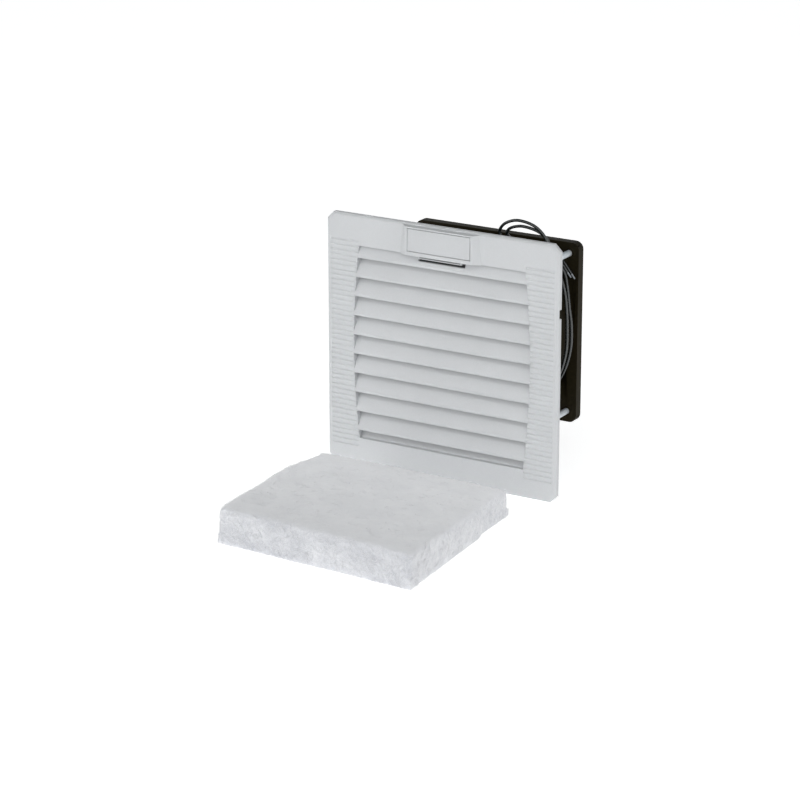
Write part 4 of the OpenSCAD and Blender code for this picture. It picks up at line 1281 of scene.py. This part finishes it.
    def build(self) -> None:
        """Makes the cover's pieces and puts them on their body."""
        slats = cut(self.slats(), [self.notch()])
        crisp(slats)
        made = {
            "cover_plate": (cut(self.plate(), self.rooms()[1:]), COVER_ABS),
            "cover_slats": (slats, COVER_ABS),
            "cover_block": (cut(self.block(), self.rooms()), COVER_ABS),
            # The notch wall is grey ABS like the cover; its black is painted shade.
            "cover_notch_wall": (self.notch_wall(), PAINTED_SHADE_ABS),
            "cover_knuckles": (self.knuckles(), COVER_ABS),
        }
        for name, (mesh, finish) in made.items():
            piece(name, mesh, finish, "cover", "cover_plastic", ["grille_cover"])
        dress("latch_pin", PIN_STEEL)
        dress("latch_spring", SPRING_STEEL)


@dataclass
class FilterMat:
    """Square mat of bonded polyester wool, lying in front of the cover.

    Attributes:
        centre: Place of its centre.
        floor_z: Height of the floor.
        turn: Turn on the floor in degrees.
        corners: Where its corners lie in its own frame, from the front left round to the rear left.
        heights: Height of its top at those corners.
        left_sway: Shares of the left side, and how far it stands out there.
        right_sway: The same for the right side.
        dome: How far the middle of the top stands above its edges.
        cells, layers: Rows of faces along a side and up its height.
        firm_layers: Lowest rows of faces, which keep their shape.
        rounding, easing: Rounds of smoothing that make the upper edges soft, and how far each goes.
        wave, tuft, curl: Waves per millimetre of the wool's swells, tufts and curls.
        wave_h, wave_shift: Height of the swells, and their place in the noise.
        tuft_h, curl_h: Height of tufts and curls on the skin, and what a cut side adds.
        fibres: Number of loose fibres on an even spread.
        fibre_len, fibre_r: Length and radius of one.
        fibre_steps, fibre_sides: Points along it and sides of it.
        fibre_bow, fibre_rise: How far its middle bows and stands up, as a share of its length.
        fibre_tilt: How far it may lean, in radians.
        fibre_growth: Smallest and largest size of one.
        facing, density: Upward share of the normal, and how dense the fibres are at its ends.
        seed: Seed of their places and turns.
    """

    centre: tuple[float, float] = (6.5, -111.5)
    floor_z: float = FLOOR_Z
    turn: float = 2.4
    corners: tuple[tuple[float, float], ...] = ((-67.8, -57.7), (69.8, -70.2), (64.0, 67.9), (-65.9, 63.0))
    heights: tuple[float, ...] = (23.0, 22.0, 17.0, 22.6)
    left_sway: tuple[tuple[float, ...], tuple[float, ...]] = (
        (0.0, 0.2, 0.44, 0.69, 0.83, 0.92, 1.0),
        (0.0, 2.4, 3.0, 4.5, 1.5, -1.1, 0.0),
    )
    right_sway: tuple[tuple[float, ...], tuple[float, ...]] = ((0.0, 0.67, 0.73, 1.0), (0.0, 0.5, -1.1, 0.0))
    dome: float = 1.5
    cells: int = 118
    layers: int = 20
    firm_layers: int = 5
    rounding: int = 26
    easing: float = 0.5
    wave: float = 0.03
    tuft: float = 0.4
    curl: float = 0.8
    wave_h: float = 0.5
    wave_shift: Point = (3.0, 1.0, 5.0)
    tuft_h: tuple[float, float] = (0.1, 0.35)
    curl_h: tuple[float, float] = (0.04, 0.45)
    fibres: float = 7600.0
    fibre_len: float = 5.0
    fibre_r: float = 0.085
    fibre_steps: int = 4
    fibre_sides: int = 3
    fibre_bow: float = 0.35
    fibre_rise: float = 0.05
    fibre_tilt: float = 0.25
    fibre_growth: tuple[float, float] = (0.5, 1.2)
    facing: tuple[float, float] = (0.2, 0.9)
    density: tuple[float, float] = (2.0, 0.5)
    seed: int = 7

    def lie(self, s: float, t: float, up: float) -> Vector:
        """Place of a point of the slab as the soft mat lies, sagged and pulled out of square.

        Args:
            s: Share of the way across, from the left.
            t: Share of the way along, from the front.
            up: Share of the height.

        Returns:
            The point in the mat's own frame, in millimetres above the floor.
        """
        shares = ((1 - s) * (1 - t), s * (1 - t), s * t, (1 - s) * t)
        x, y = (sum(w * c[axis] for w, c in zip(shares, self.corners)) for axis in (0, 1))
        left, right = (float(np.interp(t, *sway)) for sway in (self.left_sway, self.right_sway))
        x += s * right - (1 - s) * left
        # The product of the shares is 1/16 in the middle.
        swell = 16 * self.dome * s * (1 - s) * t * (1 - t)
        tall = sum(w * h for w, h in zip(shares, self.heights)) + swell
        return Vector((x, y, up * tall))

    def fluff(self, spot: Vector, normal: Vector) -> float:
        """How far the wool stands out at a point: little on its skin, more on its cut sides.

        Args:
            spot: The point in millimetres.
            normal: The way that the surface faces there.

        Returns:
            The distance in millimetres.
        """
        cut = 1 - abs(normal.z)
        wave = noise.noise(spot * self.wave + Vector(self.wave_shift))
        tuft = noise.noise(spot * self.tuft)
        curl = noise.noise(spot * self.curl)
        tuft_h, curl_h = (skin + side * cut for skin, side in (self.tuft_h, self.curl_h))
        return self.wave_h * wave + tuft_h * tuft + curl_h * curl

    def slab(self) -> bpy.types.Mesh:
        """The mat's body as a closed, uneven slab with soft upper edges."""
        work = bmesh.new()
        n, m = self.cells, self.layers
        grid: dict[tuple[int, int, int], bmesh.types.BMVert] = {}

        def corner(i: int, j: int, k: int) -> bmesh.types.BMVert:
            """The slab's point at whole-number places."""
            if (i, j, k) not in grid:
                grid[i, j, k] = work.verts.new(self.lie(i / n, j / n, k / m))
            return grid[i, j, k]

        for a, b, spans in (("i", "j", (n, n, m)), ("i", "k", (n, m, n)), ("j", "k", (n, m, n))):
            for p in range(spans[0]):
                for q in range(spans[1]):
                    for r in (0, spans[2]):
                        ring = []
                        for dp, dq in ((0, 0), (1, 0), (1, 1), (0, 1)):
                            spot = {a: p + dp, b: q + dq}
                            spot.update({c: r for c in "ijk" if c not in spot})
                            ring.append(corner(spot["i"], spot["j"], spot["k"]))
                        work.faces.new(ring)
        bmesh.ops.recalc_face_normals(work, faces=work.faces)
        upper = [v for (i, j, k), v in grid.items() if k > self.firm_layers]
        axes = {f"use_axis_{axis}": True for axis in "xyz"}
        for _ in range(self.rounding):
            bmesh.ops.smooth_vert(work, verts=upper, factor=self.easing, **axes)
        work.normal_update()
        # Cut sides take the full pattern with its painted shade between fibres; the top skin gets a calmer,
        # lighter one.
        cut_side_shade_mask = work.verts.layers.float.new("cut")
        for v in work.verts:
            v[cut_side_shade_mask] = 1 - abs(v.normal.z) ** 2
            v.co += v.normal * self.fluff(v.co, v.normal)
            v.co.z = max(v.co.z, 0.0)
        turn = Matrix.Rotation(math.radians(self.turn), 4, "Z")
        place = Matrix.Translation(Vector((*self.centre, self.floor_z)) * MM)
        bmesh.ops.transform(work, matrix=place @ turn @ Matrix.Scale(MM, 4), verts=work.verts)
        mesh = bpy.data.meshes.new("mat_wool")
        work.to_mesh(mesh)
        work.free()
        mesh.shade_smooth()
        return mesh

    def tangle(self, slab: bpy.types.Mesh) -> bpy.types.Mesh:
        """Loose fibres that lie on the wool, drawn thicker than real ones so that they show.

        Args:
            slab: The mat's body.

        Returns:
            The fibres.
        """
        sizes = {
            "Fibres": self.fibres,
            "Fibre length": self.fibre_len * MM,
            "Fibre radius": self.fibre_r * MM,
            "Seed": self.seed,
            "Floor": self.floor_z * MM,
        }
        recipe = NodeRecipe("loose fibres", sizes, FIBRE)
        size = recipe.inputs
        long, seed = size["Fibre length"], {"Seed": size["Seed"]}
        even = recipe.math("DIVIDE", size["Fibres"], sum(p.area for p in slab.polygons))
        normal = recipe.add("GeometryNodeInputNormal")[0]
        facing = recipe.add("ShaderNodeSeparateXYZ", {0: normal})["Z"]
        density = recipe.math("MULTIPLY", even, ranged(recipe.tree, facing, self.facing, self.density))
        scatter = {"Mesh": size["Geometry"], "Density": density} | seed
        spots = recipe.add("GeometryNodeDistributePointsOnFaces", scatter)
        half = recipe.math("MULTIPLY", long, 0.5)
        bow = recipe.math("MULTIPLY", long, self.fibre_bow)
        rise = recipe.math("MULTIPLY", long, self.fibre_rise)
        bend = {
            "Resolution": self.fibre_steps,
            "Start": recipe.vector(X=recipe.math("MULTIPLY", half, -1.0)),
            "Middle": recipe.vector(Y=bow, Z=rise),
            "End": recipe.vector(X=half),
        }
        arc = recipe.add("GeometryNodeCurveQuadraticBezier", bend)[0]
        thin = {"Resolution": self.fibre_sides, "Radius": size["Fibre radius"]}
        rim = recipe.add("GeometryNodeCurvePrimitiveCircle", thin)[0]
        fibre = recipe.add("GeometryNodeCurveToMesh", {"Curve": arc, "Profile Curve": rim})[0]
        tilt = self.fibre_tilt
        lean = {0: (-tilt, -tilt, -math.pi), 1: (tilt, tilt, math.pi)} | seed
        spin = recipe.add("FunctionNodeRandomValue", lean, data_type="FLOAT_VECTOR")[0]
        turn = {"Rotation": spots["Rotation"], "Rotate By": spin}
        turned = recipe.add("FunctionNodeRotateRotation", turn, rotation_space="LOCAL")[0]
        growth = {2: self.fibre_growth[0], 3: self.fibre_growth[1]} | seed
        grown = recipe.add("FunctionNodeRandomValue", growth, data_type="FLOAT")[1]
        lay = {"Points": spots["Points"], "Instance": fibre, "Rotation": turned, "Scale": grown}
        laid = recipe.add("GeometryNodeInstanceOnPoints", lay)[0]
        loose = recipe.add("GeometryNodeRealizeInstances", {"Geometry": laid})[0]
        place = recipe.position()
        above = recipe.math("MAXIMUM", place["Z"], size["Floor"])
        return recipe.mesh(recipe.moved(loose, recipe.vector(X=place["X"], Y=place["Y"], Z=above)), slab)

    def build(self) -> None:
        """Makes the mat and its loose fibres."""
        slab = self.slab()
        fibres = self.tangle(slab.copy())
        mat = piece("mat_wool", slab, WOOL, "mat", "filter_wool", ["filter_mat"])
        piece("mat_fibres", fibres, FIBRE, "mat", "filter_wool", ["filter_mat"])


@dataclass
class Housing:
    """Base frame, seal, mat grid and the panel of the release.

    Attributes:
        ease: Width of the eased edges.
        fine_ease: The same for thin mouldings.
        slit: Corners of the slit above the end of the release's tongue.
    """

    ease: float = 0.3
    fine_ease: float = 0.2
    slit: tuple[Point, Point] = ((-14.7, -10.2, 61.8), (14.7, -7.8, 62.7))

    def build(self) -> None:
        """Eases the mouldings and dresses the rest."""
        panel = cut(eased_copy("release_latch", self.fine_ease), [self.slit])
        piece("release_panel", panel, LATCH_ABS, "latch", "latch_plastic", ["release_latch"])
        base = "base_moulding", "base_frame", self.ease
        grid = "grid_moulding", "mat_grid", self.fine_ease
        for name, node, ease in (base, grid):
            piece(name, eased_copy(node, ease), BASE_ABS, "housing", "base_plastic", [node])
        dress("door_gasket", FOAM)
        dress("hinge_pins", PIN_STEEL)


@dataclass
class Fan:
    """Axial fan with its screws, guard, impeller and motor.

    Attributes:
        ease: Width of the eased edges of the casting.
    """

    ease: float = 0.5

    def build(self) -> None:
        """Eases the casting, smooths the round pieces and dresses the rest."""
        casting = eased_copy("fan_housing", self.ease)
        piece("fan_casting", casting, CAST_BLACK, "housing", "cast_black", ["fan_housing"])
        # Each with its finish, body, slot and the width of its eased edges.
        round_pieces = [
            ("fan_screws", ZINC, "housing", "zinc", 0.15),
            ("fan_washers", ZINC, "housing", "zinc", 0.1),
            ("fan_nuts", ZINC, "housing", "zinc", 0.2),
            ("finger_guard", GUARD_WIRE, "housing", "guard_wire", 0.0),
            ("impeller", BLADE_NYLON, "rotor", "blade_plastic", 0.0),
            ("lead_grommet", BUSH_RUBBER, "housing", "bush_rubber", 0.3),
        ]
        for node, finish, body, slot, ease in round_pieces:
            piece(node + "_dressed", eased_copy(node, ease), finish, body, slot, [node])
        inner = {
            "rotor_cup": ROTOR_STEEL, "rotor_ring": ROTOR_STEEL, "shaft": PIN_STEEL,
            "shaft_clip": SPRING_STEEL, "front_bearing": BRONZE, "rear_bearing": BRONZE,
            "bearing_tube": ROTOR_STEEL, "stator_core": LAMINATION, "stator_windings": COPPER,
        }
        for node, finish in inner.items():
            dress(node, finish)


def main() -> None:
    """Builds the studio and every sub-assembly."""
    logging.basicConfig(level=logging.INFO, format="%(message)s")
    Studio().build()
    for part in (Leads(), Cover(), FilterMat(), Housing(), Fan()):
        LOG.info("%s", type(part).__name__)
        part.build()


if __name__ == "__main__":
    main()
